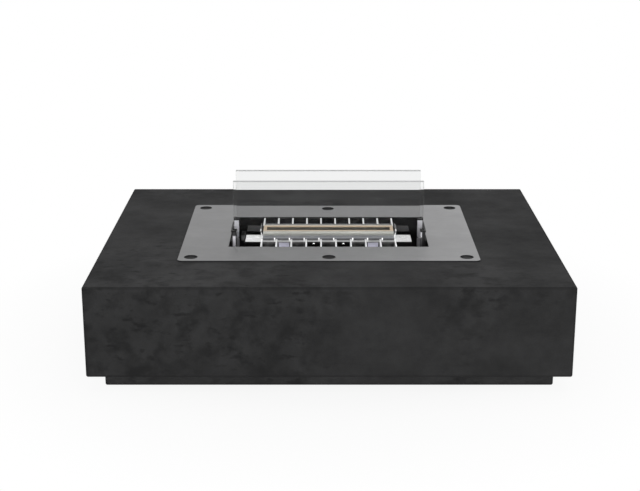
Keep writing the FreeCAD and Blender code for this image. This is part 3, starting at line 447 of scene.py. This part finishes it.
# Glass clips, reservoir hangers and glass channels: bead-blasted stainless strip, folded.
# The clips are welded upright to the side brackets, the hangers between deck and well, and the
# channels on the deck. Painted shade blackens the clips in places and greys the hangers near the
# deck, and soot and painted shade darken the channels towards their foot.
def blasted_finish(name, colour, shade, metal, gloss=0.5, rough=(0.36, 0.5)):
    """Bead-blasted steel: a pale, even surface that scatters light."""
    material, shader = new_finish(name, {"Metallic": metal, "Specular IOR Level": gloss})
    pattern = blend(material, 0.5, grain(material, 1600, detail=2), grain(material, 40, detail=4))
    even = spread(material, pattern, 0.35, 0.65)
    wire(material, blend(material, even, (*shade, 1), (*colour, 1)), shader, "Base Color")
    wire(material, spread(material, even, 0, 1, rough[1], rough[0]), shader, "Roughness")
    emboss(material, shader, grain(material, 2600, detail=1), height=0.00004, strength=0.3)
    return material, shader


SOOT_AND_SHADE_BLACK = grey(0.012)
SOOT_AND_SHADE_LINE = 0.0003


def soot_and_shade(material, shader, bottom, top, most, least):
    """Soot and painted shade that start at a level and thicken downwards, over the colour that a
    piece has.
    """
    level = object_axes(material)["Z"]
    settled = spread(material, level, bottom, top - SOOT_AND_SHADE_LINE, most, least)
    starts = spread(material, level, top - SOOT_AND_SHADE_LINE, top, 1, 0)
    patchy = spread(material, grain(material, 130, detail=3), 0.3, 0.7, 0.75, 1)
    even_share = combine(material, "MULTIPLY", settled, starts)
    coat(material, shader, combine(material, "MULTIPLY", even_share, patchy), SOOT_AND_SHADE_BLACK)


HANGER_SHADE = (0.30, 0.30, 0.35, 1)
HANGER_SHADE_FOOT = 0.1295
HANGER_SHADE_HEAD = 0.1335
HANGER_SHADE_SHARE = 0.4
hanger_steel, hanger_shader = blasted_finish(
    "blasted_strip_steel", colour=(0.90, 0.89, 1.0), shade=(0.85, 0.84, 0.96), metal=0.2)
# Painted shade greys the hangers towards their top, under the deck.
hanger_level = object_axes(hanger_steel)["Z"]
hanger_painted_shade = spread(hanger_steel, hanger_level, HANGER_SHADE_FOOT, HANGER_SHADE_HEAD, 0, HANGER_SHADE_SHARE)
coat(hanger_steel, hanger_shader, hanger_painted_shade, HANGER_SHADE)
dress(hanger_steel, "reservoir_hangers")
channel_steel, channel_shader = blasted_finish(
    "blasted_channel_steel", colour=(0.44, 0.45, 0.475), shade=(0.36, 0.37, 0.39),
    metal=0.0, gloss=0.06)
channel_low, channel_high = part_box("front_glass_channel")
# The channels darken towards their foot on the deck, with soot and painted shade.
soot_and_shade(channel_steel, channel_shader, channel_low.z, channel_high.z, most=0.98, least=0)
dress(channel_steel, "front_glass_channel", "rear_glass_channel")
CLIP_SHADE_BLACK = grey(0.015)
CLIP_MIDDLE = 0.1277
CLIP_UNSHADED_HALF = 0.0016
CLIP_TOP_SHADE_LEVEL = 0.1415
CLIP_TOP_SHADE_SHARE = 0.93
CLIP_LOW_SHADE_LEVEL = 0.1218
CLIP_LOW_SHADE_SHARE = 0.3
CLIP_FADE = 0.0008
CLIP_TURN = 0.01
CLIP_RIGHT_EDGE = 0.1269
CLIP_RIGHT_SHARE = 0.96
CLIP_RIGHT_LEVEL = 0.14
CLIP_FOOT_SHARE = 0.85
clip_steel, clip_shader = blasted_finish(
    "blasted_clip_steel", colour=(0.97, 0.96, 1.0), shade=(0.90, 0.89, 0.94), metal=1.0,
    rough=(0.55, 0.68))
# Painted shade, black: on the front clips above a level and along their edges, over nearly all of
# the front right one and its foot, and on the rear clips low in the well.
clip_axes = object_axes(clip_steel)
in_front = spread(clip_steel, clip_axes["Y"], -CLIP_TURN, CLIP_TURN, 1, 0)
behind = spread(clip_steel, in_front, 0, 1, 1, 0)
on_right = spread(clip_steel, clip_axes["X"], CLIP_RIGHT_EDGE - CLIP_FADE, CLIP_RIGHT_EDGE,
                  0.0, CLIP_RIGHT_SHARE)
clip_reach = combine(clip_steel, "ABSOLUTE", clip_axes["X"])
clip_offset = combine(clip_steel, "SUBTRACT", clip_reach, CLIP_MIDDLE)
clip_side = combine(clip_steel, "ABSOLUTE", clip_offset)
clip_edge_shade = spread(clip_steel, clip_side, CLIP_UNSHADED_HALF, CLIP_UNSHADED_HALF + CLIP_FADE)
clip_top_shade = spread(clip_steel, clip_axes["Z"], CLIP_TOP_SHADE_LEVEL - CLIP_FADE,
               CLIP_TOP_SHADE_LEVEL + CLIP_FADE, 0, CLIP_TOP_SHADE_SHARE)
clip_low_shade = spread(clip_steel, clip_axes["Z"], CLIP_LOW_SHADE_LEVEL - CLIP_FADE, CLIP_LOW_SHADE_LEVEL,
                    CLIP_LOW_SHADE_SHARE, 0)
on_left = spread(clip_steel, clip_axes["X"], -CLIP_TURN, CLIP_TURN, 1, 0)
clip_top_and_edge_shade = combine(clip_steel, "MAXIMUM", clip_edge_shade, clip_top_shade)
left_black = combine(clip_steel, "MULTIPLY", clip_top_and_edge_shade, on_left)
foot_black = spread(clip_steel, clip_axes["Z"], CLIP_RIGHT_LEVEL - CLIP_FADE, CLIP_RIGHT_LEVEL,
                    CLIP_FOOT_SHARE, 0)
right_side = spread(clip_steel, on_left, 0, 1, 1, 0)
right_foot = combine(clip_steel, "MULTIPLY", foot_black, right_side)
right_black = combine(clip_steel, "MAXIMUM", right_foot, on_right)
front_black = combine(clip_steel, "MAXIMUM", left_black, right_black)
front_share = combine(clip_steel, "MULTIPLY", front_black, in_front)
rear_share = combine(clip_steel, "MULTIPLY", clip_low_shade, behind)
clip_share = combine(clip_steel, "MAXIMUM", front_share, rear_share)
coat(clip_steel, clip_shader, clip_share, CLIP_SHADE_BLACK)
dress(clip_steel, "glass_clips")


# Clip caps: small black mouldings pushed over the tops of the clips, with the pane's slot in them.
# Each has rounded edges from its mould.
CAP_LENGTH = 0.0076
CAP_WIDTH = 0.0116
CAP_SLOT = 0.007
CAP_BACK = 0.0023
CAP_ROUND = 0.0006
cap_rubber, _ = rubber_finish("cap_rubber", dark=0.010, dusty=0.018)
cap_low, cap_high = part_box("clip_caps")
cap_inner = cap_high.x - CAP_LENGTH
cap_middle = cap_high.y - CAP_WIDTH / 2
cap = new_block("rear_right_clip_cap", (cap_inner, cap_high.y - CAP_WIDTH, cap_low.z), cap_high)
cap_slot = new_block(
    "slot", (cap_inner - CUT_MARGIN, cap_middle - CAP_SLOT / 2, cap_low.z - CUT_MARGIN),
    (cap_high.x - CAP_BACK, cap_middle + CAP_SLOT / 2, cap_high.z + CUT_MARGIN))
cut_away(cap, cap_slot)
break_edges(cap, CAP_ROUND, segments=3)


def place_copy(piece, name, turn):
    """A copy of a piece with its own mesh, moved, turned or mirrored by a matrix."""
    twin = piece.copy()
    twin.data = piece.data.copy()
    twin.name = name
    twin.data.transform(turn)
    if turn.determinant() < 0:
        twin.data.flip_normals()
    bpy.context.scene.collection.objects.link(twin)
    return twin


caps = [cap]
for name, flip_x, flip_y in (("rear_left", -1, 1), ("front_right", 1, -1), ("front_left", -1, -1)):
    caps.append(place_copy(cap, f"{name}_clip_cap", Matrix.Diagonal((flip_x, flip_y, 1, 1))))
for cap in caps:
    stand_for(cap, "fire_pit", "black_rubber", cap_rubber, "clip_caps")


# Absorber block: porous white ceramic, pressed to a block that lies in the reservoir.
# It soaks up the fuel, and is scorched to straw in patches.
CERAMIC_PORE = (0.50, 0.46, 0.40, 1)
CERAMIC_WHITE = (0.76, 0.73, 0.67, 1)
CERAMIC_SCORCH = (0.55, 0.43, 0.27, 1)
ceramic, ceramic_shader = new_finish("porous_ceramic",
                                     {"Specular IOR Level": 0.2, "Roughness": 0.95})
pores = spread(ceramic, grain(ceramic, 500, detail=3), 0.35, 0.6)
scorch = spread(ceramic, grain(ceramic, 25, detail=5), 0.4, 0.7, 0, 0.6)
clean_ceramic = blend(ceramic, pores, CERAMIC_PORE, CERAMIC_WHITE)
wire(ceramic, blend(ceramic, scorch, clean_ceramic, CERAMIC_SCORCH), ceramic_shader, "Base Color")
emboss(ceramic, ceramic_shader, pores, height=0.0008, strength=0.6)
dress(ceramic, "absorber_block")


# Head cheeks: upright plates of bright stainless steel at both ends of the burner head.
# They are cut from rolled sheet and bright along their front; behind it they are painted near
# black as shade.
BRIGHT_STEEL = {"colour": (0.93, 0.93, 0.935), "shade": (0.80, 0.80, 0.81),
                "rough": (0.16, 0.28), "marks": ROLLED}
CHEEK_SHADE = (0.010, 0.010, 0.012, 1)
CHEEK_SHADE_START = -0.0095
CHEEK_SHADE_FULL = -0.0075
CHEEK_SHADE_SHARE = 0.97
cheek_steel, cheek_shader = metal_finish("cheek_steel", **BRIGHT_STEEL)
cheek_painted_shade = spread(cheek_steel, object_axes(cheek_steel)["Y"], CHEEK_SHADE_START, CHEEK_SHADE_FULL,
                    0, CHEEK_SHADE_SHARE)
coat(cheek_steel, cheek_shader, cheek_painted_shade, CHEEK_SHADE)
dress(cheek_steel, "left_head_cheek", "right_head_cheek")


# Deck strips: stainless sheet, folded down to a lip along the outer edge and screwed to the guide
# rails. The front one is polished; painted shade blackens its lip round its two screws and at both
# ends and darkens it between the fins, and soot and painted shade darken its lip downwards. The
# rear one is painted near black as shade.
DECK_BEND = 0.0005
DECK_ARRIS = 0.0001
DECK_MARKS = (60, 1500, 1500)
DECK_RIGHT_TONE = 0.8
DECK_FIN_SHADE_SHARE = 0.34
LIP_SCREW_X = 0.020
LIP_SCREW_DROP = 0.00425
LIP_HOLE_RADIUS = 0.0017
LIP_SOOT_AND_SHADE = 0.0045
PAINTED_SHADE_BLACK = grey(0.006)
PAINT_HALF = 0.0088
PAINT_END = 0.0905
PAINT_FADE = 0.0002
PAINT_DROP = 0.0001
TO_FRONT = (math.radians(90), 0, 0)


def is_outer_fold(first, second):
    """True for the top outer edge of a deck strip."""
    return (min(first.z, second.z) > fold_level
            and min(abs(first.y), abs(second.y)) > fold_reach)


def shade_round_screws(material, shader, deck_top):
    """Black painted shade on a deck strip's lip, round its two screws and at both ends."""
    axes = object_axes(material)
    reach = combine(material, "ABSOLUTE", axes["X"])
    across = combine(material, "ABSOLUTE", combine(material, "SUBTRACT", reach, LIP_SCREW_X))
    beside = spread(material, across, PAINT_HALF - PAINT_FADE, PAINT_HALF, 1, 0)
    beyond = spread(material, reach, PAINT_END - PAINT_FADE, PAINT_END)
    along = combine(material, "MAXIMUM", beside, beyond)
    below = spread(material, axes["Z"], deck_top - PAINT_DROP - 2 * PAINT_FADE,
                   deck_top - PAINT_DROP, 1, 0)
    coat(material, shader, combine(material, "MULTIPLY", along, below), PAINTED_SHADE_BLACK)


polished_deck, polished_shader = metal_finish(
    "polished_deck_steel", colour=(0.98, 0.98, 0.98), shade=(0.94, 0.94, 0.94),
    rough=(0.24, 0.32), marks=DECK_MARKS, depth=0.000008)
polished_shader.inputs["Metallic"].default_value = 0.3
polished_low, polished_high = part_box("front_deck_strip")
polished_axes = object_axes(polished_deck)
duller_right = spread(polished_deck, polished_axes["X"], polished_low.x, polished_high.x,
                      1.0, DECK_RIGHT_TONE)
coat(polished_deck, polished_shader, 1.0, duller_right, "MULTIPLY")
# Painted shade darkens the deck between the fins.
polished_reach = combine(polished_deck, "ABSOLUTE", polished_axes["X"])
fin_painted_shade = spread(polished_deck, polished_reach, PAINT_END - PAINT_FADE, PAINT_END,
                      DECK_FIN_SHADE_SHARE, 0)
coat(polished_deck, polished_shader, fin_painted_shade, SOOT_AND_SHADE_BLACK)
soot_and_shade(polished_deck, polished_shader, polished_high.z - LIP_SOOT_AND_SHADE, polished_high.z,
     most=1.0, least=0.66)
shade_round_screws(polished_deck, polished_shader, polished_high.z)
# The rear strip is near black, as painted shade.
painted_shade_deck, painted_shade_deck_shader = metal_finish(
    "painted_shade_deck_steel", colour=(0.0072, 0.0072, 0.0080), shade=(0.0048, 0.0048, 0.0055),
    rough=(0.45, 0.6), marks=DECK_MARKS)
painted_shade_deck_shader.inputs["Metallic"].default_value = 0.0
painted_shade_deck_shader.inputs["Specular IOR Level"].default_value = 0.06
for end, side, slot, deck_steel in (("front", -1, "stainless", polished_deck),
                                    ("rear", 1, "dark_steel", painted_shade_deck)):
    deck_low, deck_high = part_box(f"{end}_deck_strip")
    fold_level = deck_high.z - SHEET
    fold_reach = max(abs(deck_low.y), abs(deck_high.y)) - SHEET
    strip = new_block(f"folded_{end}_deck_strip", deck_low, deck_high)
    round_edges(strip, is_outer_fold, DECK_BEND, segments=6)
    under_low, under_high = sorted((side * fold_reach, 0))
    underside = new_block("underside",
                          (deck_low.x - CUT_MARGIN, under_low, deck_low.z - CUT_MARGIN),
                          (deck_high.x + CUT_MARGIN, under_high, fold_level))
    cut_away(strip, underside)
    for x in (-LIP_SCREW_X, LIP_SCREW_X):
        lip_middle = (x, side * fold_reach, deck_high.z - LIP_SCREW_DROP)
        drill = new_bar(lip_middle, LIP_HOLE_RADIUS, 4 * SHEET, sides=32, turn=TO_FRONT)
        cut_away(strip, drill)
    break_edges(strip, DECK_ARRIS)
    stand_for(strip, "fire_pit", slot, deck_steel, f"{end}_deck_strip")


# Lip screws: four stainless button-head screws with a hexagon socket, turned from bar.
# They go through the lips of the deck strips into the guide rails. Painted shade blackens their
# heads, all but the upper middle.
SCREW_HEAD = 0.0017
SCREW_HEAD_RADIUS = 0.00275
SCREW_SHANK_RADIUS = 0.0015
SCREW_LENGTH = 0.007
SCREW_DOME = 0.0012
SCREW_ARRIS = 0.00006
SOCKET_RADIUS = 0.000975
SOCKET_DEPTH = 0.0009
UNSHADED_HALF = 0.0014
UNSHADED_FADE = 0.0003
FACING = 0.9


def pick_faces(piece, wanted):
    """Select those faces of a piece that the test picks, and stay in edit mode."""
    clear_selection()
    piece.select_set(True)
    bpy.context.view_layer.objects.active = piece
    bpy.ops.object.mode_set(mode="EDIT")
    bpy.ops.mesh.select_mode(type="FACE")
    bpy.ops.mesh.select_all(action="DESELECT")
    bpy.ops.object.mode_set(mode="OBJECT")
    for face in piece.data.polygons:
        face.select = wanted(face)
    bpy.ops.object.mode_set(mode="EDIT")


def is_head_seat(face):
    """True for the face of a screw head that lies on the lip."""
    return face.normal.y > FACING


def is_dome_rim(first, second):
    """True for the rim of a screw head's outer face."""
    return max(first.y, second.y) < screw_low.y + SCREW_ARRIS


screw_low, screw_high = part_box("lip_screws")
screw_level = (screw_low.z + screw_high.z) / 2
head_middle = (-LIP_SCREW_X, screw_low.y + SCREW_HEAD / 2, screw_level)
screw = new_bar(head_middle, SCREW_HEAD_RADIUS, SCREW_HEAD, sides=40, turn=TO_FRONT)
screw.name = "front_left_lip_screw"
bpy.ops.object.transform_apply(location=True, rotation=True, scale=True)
pick_faces(screw, is_head_seat)
bpy.ops.mesh.inset(thickness=SCREW_HEAD_RADIUS - SCREW_SHANK_RADIUS, depth=0)
bpy.ops.mesh.extrude_region_move(TRANSFORM_OT_translate={"value": (0, SCREW_LENGTH, 0)})
bpy.ops.object.mode_set(mode="OBJECT")
round_edges(screw, is_dome_rim, SCREW_DOME, segments=6)
socket_middle = (-LIP_SCREW_X, screw_low.y, screw_level)
cut_away(screw, new_bar(socket_middle, SOCKET_RADIUS, 2 * SOCKET_DEPTH, sides=6, turn=TO_FRONT))
break_edges(screw, SCREW_ARRIS)
ACROSS = Matrix.Translation((2 * LIP_SCREW_X, 0, 0))
TURNED = Matrix.Rotation(math.pi, 4, "Z")
bright_steel, bright_shader = metal_finish("bright_steel", **BRIGHT_STEEL)
# Painted shade: each head is black but for its upper middle, where the glint shows.
screw_axes = object_axes(bright_steel)
screw_reach = combine(bright_steel, "ABSOLUTE", screw_axes["X"])
screw_offset = combine(bright_steel, "SUBTRACT", screw_reach, LIP_SCREW_X)
sides_painted_shade = spread(bright_steel, combine(bright_steel, "ABSOLUTE", screw_offset),
                       UNSHADED_HALF - UNSHADED_FADE, UNSHADED_HALF + UNSHADED_FADE)
foot_painted_shade = spread(bright_steel, screw_axes["Z"], screw_level - UNSHADED_FADE,
                      screw_level + UNSHADED_FADE, 1, 0)
screw_painted_shade = combine(bright_steel, "MAXIMUM", sides_painted_shade, foot_painted_shade)
coat(bright_steel, bright_shader, screw_painted_shade, PAINTED_SHADE_BLACK)
screws = [screw]
for name, turn in (("front_right", ACROSS), ("rear_right", TURNED),
                   ("rear_left", TURNED @ ACROSS)):
    screws.append(place_copy(screw, f"{name}_lip_screw", turn))
for screw in screws:
    stand_for(screw, "fire_pit", "stainless", bright_steel, "lip_screws")


# Fins: ten upright blades of satin stainless sheet in front of the deck and ten behind it.
# They are laser cut. Each hooks over the deck with a tongue, and all but the end ones have a
# sheared tick beside it.
FIN_COUNT = 10
FIN_GAUGE = 0.002
FIN_ARRIS = 0.00015
TONGUE = 0.0015
TICK_DEPTH = 0.0012
TICK_REACH = 0.0028
TICK_WIDTH = 0.0018
TICK_FOOT = 0.0007
TICK_RISE = 0.0031
TICK_ROUND = 0.0011
HAND_CHANGE = 0.015


def pull_faces(piece, wanted, move):
    """Draw those faces of a piece that the test picks out along a line."""
    pick_faces(piece, wanted)
    bpy.ops.mesh.extrude_region_move(TRANSFORM_OT_translate={"value": move})
    bpy.ops.object.mode_set(mode="OBJECT")


def divide(piece, place, normal):
    """Divide all faces of a piece along a plane."""
    pick_faces(piece, lambda face: True)
    bpy.ops.mesh.bisect(plane_co=place, plane_no=normal)
    bpy.ops.object.mode_set(mode="OBJECT")


def is_tongue_root(face):
    """True for the face of a blade above the deck that the tongue grows from."""
    return face.normal.y < -FACING and face.center.z > fin_seat


def is_foot_root(face):
    """True for the face of a tongue that the tick's foot grows from."""
    return (face.normal.x > FACING and face.center.y < tick_back
            and face.center.z < foot_level)


def is_tick_root(face):
    """True for the face of a foot that the upright tick grows from."""
    return face.normal.z > FACING and face.center.x > tick_inner


def is_tick_brow(first, second):
    """True for the tick's top edge on the side away from the pane."""
    return (min(first.z, second.z) > tick_top - FIN_ARRIS
            and min(first.y, second.y) > tick_back - FIN_ARRIS)


fin_low, fin_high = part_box("rear_fins")
fin_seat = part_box("rear_deck_strip")[1].z
fin_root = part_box("rear_deck_strip")[1].y
tick_back = fin_low.y + TICK_DEPTH
tick_inner = FIN_GAUGE / 2 + TICK_REACH - TICK_WIDTH
tick_top = fin_seat + TICK_RISE
foot_level = fin_seat + TICK_FOOT
end_fin = new_block("end_fin", (-FIN_GAUGE / 2, fin_root, fin_low.z),
                    (FIN_GAUGE / 2, fin_high.y, fin_seat + TONGUE))
divide(end_fin, (0, 0, fin_seat), (0, 0, 1))
pull_faces(end_fin, is_tongue_root, (0, fin_low.y - fin_root, 0))
ticked_fin = place_copy(end_fin, "ticked_fin", Matrix.Identity(4))
divide(ticked_fin, (0, tick_back, 0), (0, 1, 0))
divide(ticked_fin, (0, 0, foot_level), (0, 0, 1))
pull_faces(ticked_fin, is_foot_root, (TICK_REACH, 0, 0))
divide(ticked_fin, (tick_inner, 0, 0), (1, 0, 0))
pull_faces(ticked_fin, is_tick_root, (0, 0, TICK_RISE - TICK_FOOT))
round_edges(ticked_fin, is_tick_brow, TICK_ROUND, segments=4)
break_edges(end_fin, FIN_ARRIS)
break_edges(ticked_fin, FIN_ARRIS)
fin_steel, _ = blasted_finish("satin_fin_steel", colour=(1.0, 1.0, 1.0),
                              shade=(0.97, 0.97, 0.975), metal=0.9)
end_fin_x = fin_high.x - FIN_GAUGE / 2
fin_pitch = 2 * end_fin_x / (FIN_COUNT - 1)
for row, side in (("front", -1), ("rear", 1)):
    for number in range(FIN_COUNT):
        fin_x = number * fin_pitch - end_fin_x
        hand = 1 if fin_x > HAND_CHANGE else -1
        pattern = end_fin if number in (0, FIN_COUNT - 1) else ticked_fin
        spot = Matrix.Translation((fin_x, 0, 0)) @ Matrix.Diagonal((hand, side, 1, 1))
        fin = place_copy(pattern, f"{row}_fin_{number + 1}", spot)
        stand_for(fin, "fire_pit", "stainless", fin_steel, f"{row}_fins")
for pattern in (end_fin, ticked_fin):
    bpy.data.objects.remove(pattern, do_unlink=True)


# Burner head: a cap folded from stainless sheet over the fuel slot, with bend radii along its top.
# Beside the slot it is straw, partly heat tint and partly painted light from the flame.
BEND_RADIUS = 0.0018
HEAD_ARRIS = 0.0002
SLOT_HALF = 0.0087
HEAD_END = 0.00435
HEAD_MARKS = (60, 1200, 1200)
HEAD_DARK = (0.40, 0.40, 0.37, 1)
HEAD_PALE = (0.49, 0.49, 0.455, 1)
HEAD_STRAW_AND_FIRELIGHT = (0.66, 0.50, 0.34, 1)
head_low, head_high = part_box("burner_head")
head_half_way = (head_low.z + head_high.z) / 2


def is_top_fold(first, second):
    """True for an edge along the top of the head, on its long sides."""
    return (min(first.z, second.z) > head_half_way
            and abs(first.x - second.x) > abs(first.y - second.y))


head = new_block("folded_burner_head", head_low, head_high)
round_edges(head, is_top_fold, BEND_RADIUS, segments=5)
head_inside = new_block(
    "inside", (head_low.x - CUT_MARGIN, head_low.y + SHEET, head_low.z - CUT_MARGIN),
    (head_high.x + CUT_MARGIN, head_high.y - SHEET, head_high.z - SHEET))
round_edges(head_inside, is_top_fold, BEND_RADIUS / 3, segments=3)
cut_away(head, head_inside)
fuel_slot = new_block("slot", (head_low.x + HEAD_END, -SLOT_HALF, head_low.z),
                      (head_high.x - HEAD_END, SLOT_HALF, head_high.z + CUT_MARGIN))
cut_away(head, fuel_slot)
break_edges(head, HEAD_ARRIS)
head_steel, head_shader = new_finish("heat_tinted_and_firelit_steel", {"Metallic": 0.5})
from_slot = combine(head_steel, "ABSOLUTE", object_axes(head_steel)["Y"])
head_marks = grain(head_steel, 1, detail=3, stretch=HEAD_MARKS)
head_cloud = grain(head_steel, 30, detail=4)
# Straw beside the slot: heat tint, and painted light from the flame.
heat_tint_and_glow = spread(head_steel, from_slot, SLOT_HALF, head_high.y, 1, 0)
clean_head = blend(head_steel, spread(head_steel, head_marks, 0.3, 0.7), HEAD_DARK, HEAD_PALE)
warm = blend(head_steel, spread(head_steel, heat_tint_and_glow, 0.1, 0.9, 0, 0.9), clean_head, HEAD_STRAW_AND_FIRELIGHT)
wire(head_steel, warm, head_shader, "Base Color")
wire(head_steel, spread(head_steel, head_cloud, 0.3, 0.7, 0.38, 0.52), head_shader, "Roughness")
emboss(head_steel, head_shader, head_marks, height=0.00003, strength=0.3)
stand_for(head, "fire_pit", "stainless", head_steel, "burner_head")


# Glass gaskets: black silicone strips that lie in the channels, under the panes.
# They are extruded, and have a soft sheen.
gasket_silicone, _ = rubber_finish("gasket_silicone", dark=0.012, dusty=0.02)
dress(gasket_silicone, "glass_gaskets")


# Regulator grip: a heat-proof black sleeve pushed over the tab of the regulator slide, to nudge
# it with a tool. It is moulded with rounded edges. Its sides have gone chalky, and its top is
# burnt.
GRIP_WALL = 0.0016
GRIP_ROUND = 0.0007
GRIP_BURNT = grey(0.003)
grip_low, grip_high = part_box("regulator_grip")
grip = new_block("regulator_sleeve", grip_low, grip_high)
pouch = new_block("pouch",
                  (grip_low.x + GRIP_WALL, grip_low.y + GRIP_WALL, grip_low.z - CUT_MARGIN),
                  (grip_high.x - GRIP_WALL, grip_high.y - GRIP_WALL, grip_high.z - GRIP_WALL))
cut_away(grip, pouch)
break_edges(grip, GRIP_ROUND, segments=3)
sleeve_rubber, sleeve_shader = rubber_finish("sleeve_rubber", dark=0.11, dusty=0.15)
sleeve_shader.inputs["Specular IOR Level"].default_value = 0.03
sleeve_level = object_axes(sleeve_rubber)["Z"]
burnt = spread(sleeve_rubber, sleeve_level, grip_high.z - GRIP_ROUND, grip_high.z - GRIP_ROUND / 4)
coat(sleeve_rubber, sleeve_shader, burnt, GRIP_BURNT)
stand_for(grip, "regulator", "black_rubber", sleeve_rubber, "regulator_grip")


# Glass panes: two sheets of clear toughened glass that stand in the channels between the clips.
# Their edges are ground to a small arris. The top one is left satin, the lower one is polished
# clear.
PANE_ARRIS = 0.0007
EDGE_NORMAL = 0.1
GLASS_TINT = (0.885, 0.889, 0.888, 1)
GROUND_DARK = (0.60, 0.61, 0.61, 1)
GROUND_PALE = (0.72, 0.73, 0.73, 1)
GRIND_MARKS = (200, 2500, 2500)
WIPE_LIE = (1, 1, 2.5)
glass, glass_shader = new_finish("clear_glass", {
    "Base Color": GLASS_TINT, "IOR": 1.5, "Transmission Weight": 1.0, "Specular Tint": grey(0.15)})
wipe_marks = grain(glass, 9, detail=5, rough=0.65, stretch=WIPE_LIE, swirl=0.8)
wire(glass, spread(glass, wipe_marks, 0.45, 0.75, 0.0, 0.012), glass_shader, "Roughness")
see_through = add_node(glass, "BsdfTransparent", {"Color": GLASS_TINT})
light_path = add_node(glass, "LightPath", {})
let_light = add_node(glass, "MixShader", {0: light_path.outputs["Is Shadow Ray"],
                                          1: glass_shader.outputs["BSDF"],
                                          2: see_through.outputs["BSDF"]})
glass_out = glass.node_tree.nodes["Material Output"]
wire(glass, let_light.outputs["Shader"], glass_out, "Surface")
ground_edge, ground_shader = new_finish("ground_glass_edge",
                                        {"Roughness": 0.5, "Specular IOR Level": 0.3})
grind_lines = grain(ground_edge, 1, detail=3, stretch=GRIND_MARKS)
ground_tone = spread(ground_edge, grind_lines, 0.3, 0.7)
ground_colour = blend(ground_edge, ground_tone, GROUND_DARK, GROUND_PALE)
wire(ground_edge, ground_colour, ground_shader, "Base Color")
lower_edge, lower_shader = new_finish("polished_lower_edge", {
    "Base Color": grey(0.98), "IOR": 1.0, "Transmission Weight": 1.0})
lower_marks = grain(lower_edge, 400, detail=2)
wire(lower_edge, spread(lower_edge, lower_marks, 0.3, 0.7, 0.0, 0.02), lower_shader, "Roughness")
for end in ("front", "rear"):
    pane = new_block(f"{end}_pane_glass", *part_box(f"{end}_glass"))
    break_edges(pane, PANE_ARRIS)
    stand_for(pane, f"{end}_pane", "clear_glass", glass, f"{end}_glass")
    pane.data.materials.append(ground_edge)
    pane.data.materials.append(lower_edge)
    for face in pane.data.polygons:
        if face.normal.z > EDGE_NORMAL:
            face.material_index = 1
        elif face.normal.z < -EDGE_NORMAL:
            face.material_index = 2


# Floor and backdrop: a plain white studio sweep, on which the fire pit keeps a soft shadow.
# Seen straight on, mirrored or through glass, floor and world are white.
FLOOR_SIZE = 12
FLOOR_PAINT = grey(0.9)
FLOOR_SHADOW = 0.10
SHADOW_REACH = 0.54
WHITE = grey(1.0)
AMBIENT = 0.25
clear_selection()
bpy.ops.mesh.primitive_plane_add(size=FLOOR_SIZE)
floor = bpy.context.object
floor.name = "studio_floor"


def shows_white(material):
    """1 for rays that look at a surface, mirror it or pass through glass to it."""
    path = add_node(material, "LightPath", {})
    straight = path.outputs["Is Camera Ray"]
    for name in ("Is Glossy Ray", "Is Transmission Ray"):
        straight = combine(material, "MAXIMUM", straight, path.outputs[name])
    return straight


floor_white = bpy.data.materials.new("studio_white")
floor_white.use_nodes = True
floor_white.node_tree.nodes.remove(floor_white.node_tree.nodes["Principled BSDF"])
floor_paint = add_node(floor_white, "BsdfDiffuse", {"Color": FLOOR_PAINT})
floor_glow = add_node(floor_white, "Emission", {"Color": WHITE, "Strength": 1.0})
floor_place = add_node(floor_white, "TexCoord", {})
floor_reach = add_node(floor_white, "VectorMath", {0: floor_place.outputs["Object"]},
                       operation="LENGTH")
floor_level = spread(floor_white, floor_reach.outputs["Value"], SHADOW_REACH / 2, SHADOW_REACH,
                     1 - FLOOR_SHADOW, 1)
floor_share = combine(floor_white, "MULTIPLY", shows_white(floor_white), floor_level)
floor_mix = add_node(floor_white, "MixShader", {0: floor_share, 1: floor_paint.outputs["BSDF"],
                                                2: floor_glow.outputs["Emission"]})
floor_out = floor_white.node_tree.nodes["Material Output"]
wire(floor_white, floor_mix.outputs["Shader"], floor_out, "Surface")
floor.data.materials.append(floor_white)
world = bpy.data.worlds.new("studio")
bpy.context.scene.world = world
world.use_nodes = True
sky = world.node_tree.nodes["Background"]
sky.inputs["Color"].default_value = WHITE
sky_level = spread(world, shows_white(world), 0, 1, AMBIENT, 1.0)
wire(world, sky_level, sky, "Strength")


# Studio lights: one wide soft box overhead and a weaker one in front, both neutral.
# Together they light a white surface that faces up to about white.
def soft_box(name, place, aim, size, power):
    """A square lamp at a place, turned to face a point."""
    lamp = bpy.data.lights.new(name, "AREA")
    lamp.size = size
    lamp.energy = power
    holder = bpy.data.objects.new(name, lamp)
    holder.location = place
    holder.rotation_euler = (Vector(aim) - Vector(place)).to_track_quat("-Z", "Y").to_euler()
    bpy.context.scene.collection.objects.link(holder)


soft_box("overhead_box", place=(0.25, 0.15, 2.4), aim=(0, 0, 0.1), size=2.2, power=25)
soft_box("front_box", place=(0.3, -2.6, 0.4), aim=(0, 0, 0.05), size=1.6, power=27)


# Camera: the photograph's viewpoint, level and square to the front, looking a little down.
# Its lens and place were worked out from the edges of the body.
CAMERA_PLACE = (-0.01145, -1.760, 0.649)
CAMERA_TILT = math.radians(73.194)
CAMERA_LENS = 74.7
CAMERA_SENSOR = 36
camera_data = bpy.data.cameras.new("viewpoint")
camera_data.lens = CAMERA_LENS
camera_data.sensor_width = CAMERA_SENSOR
camera = bpy.data.objects.new("viewpoint", camera_data)
camera.location = CAMERA_PLACE
camera.rotation_euler = (CAMERA_TILT, 0, 0)
bpy.context.scene.collection.objects.link(camera)
bpy.context.scene.camera = camera
bpy.context.scene.view_settings.view_transform = "Standard"
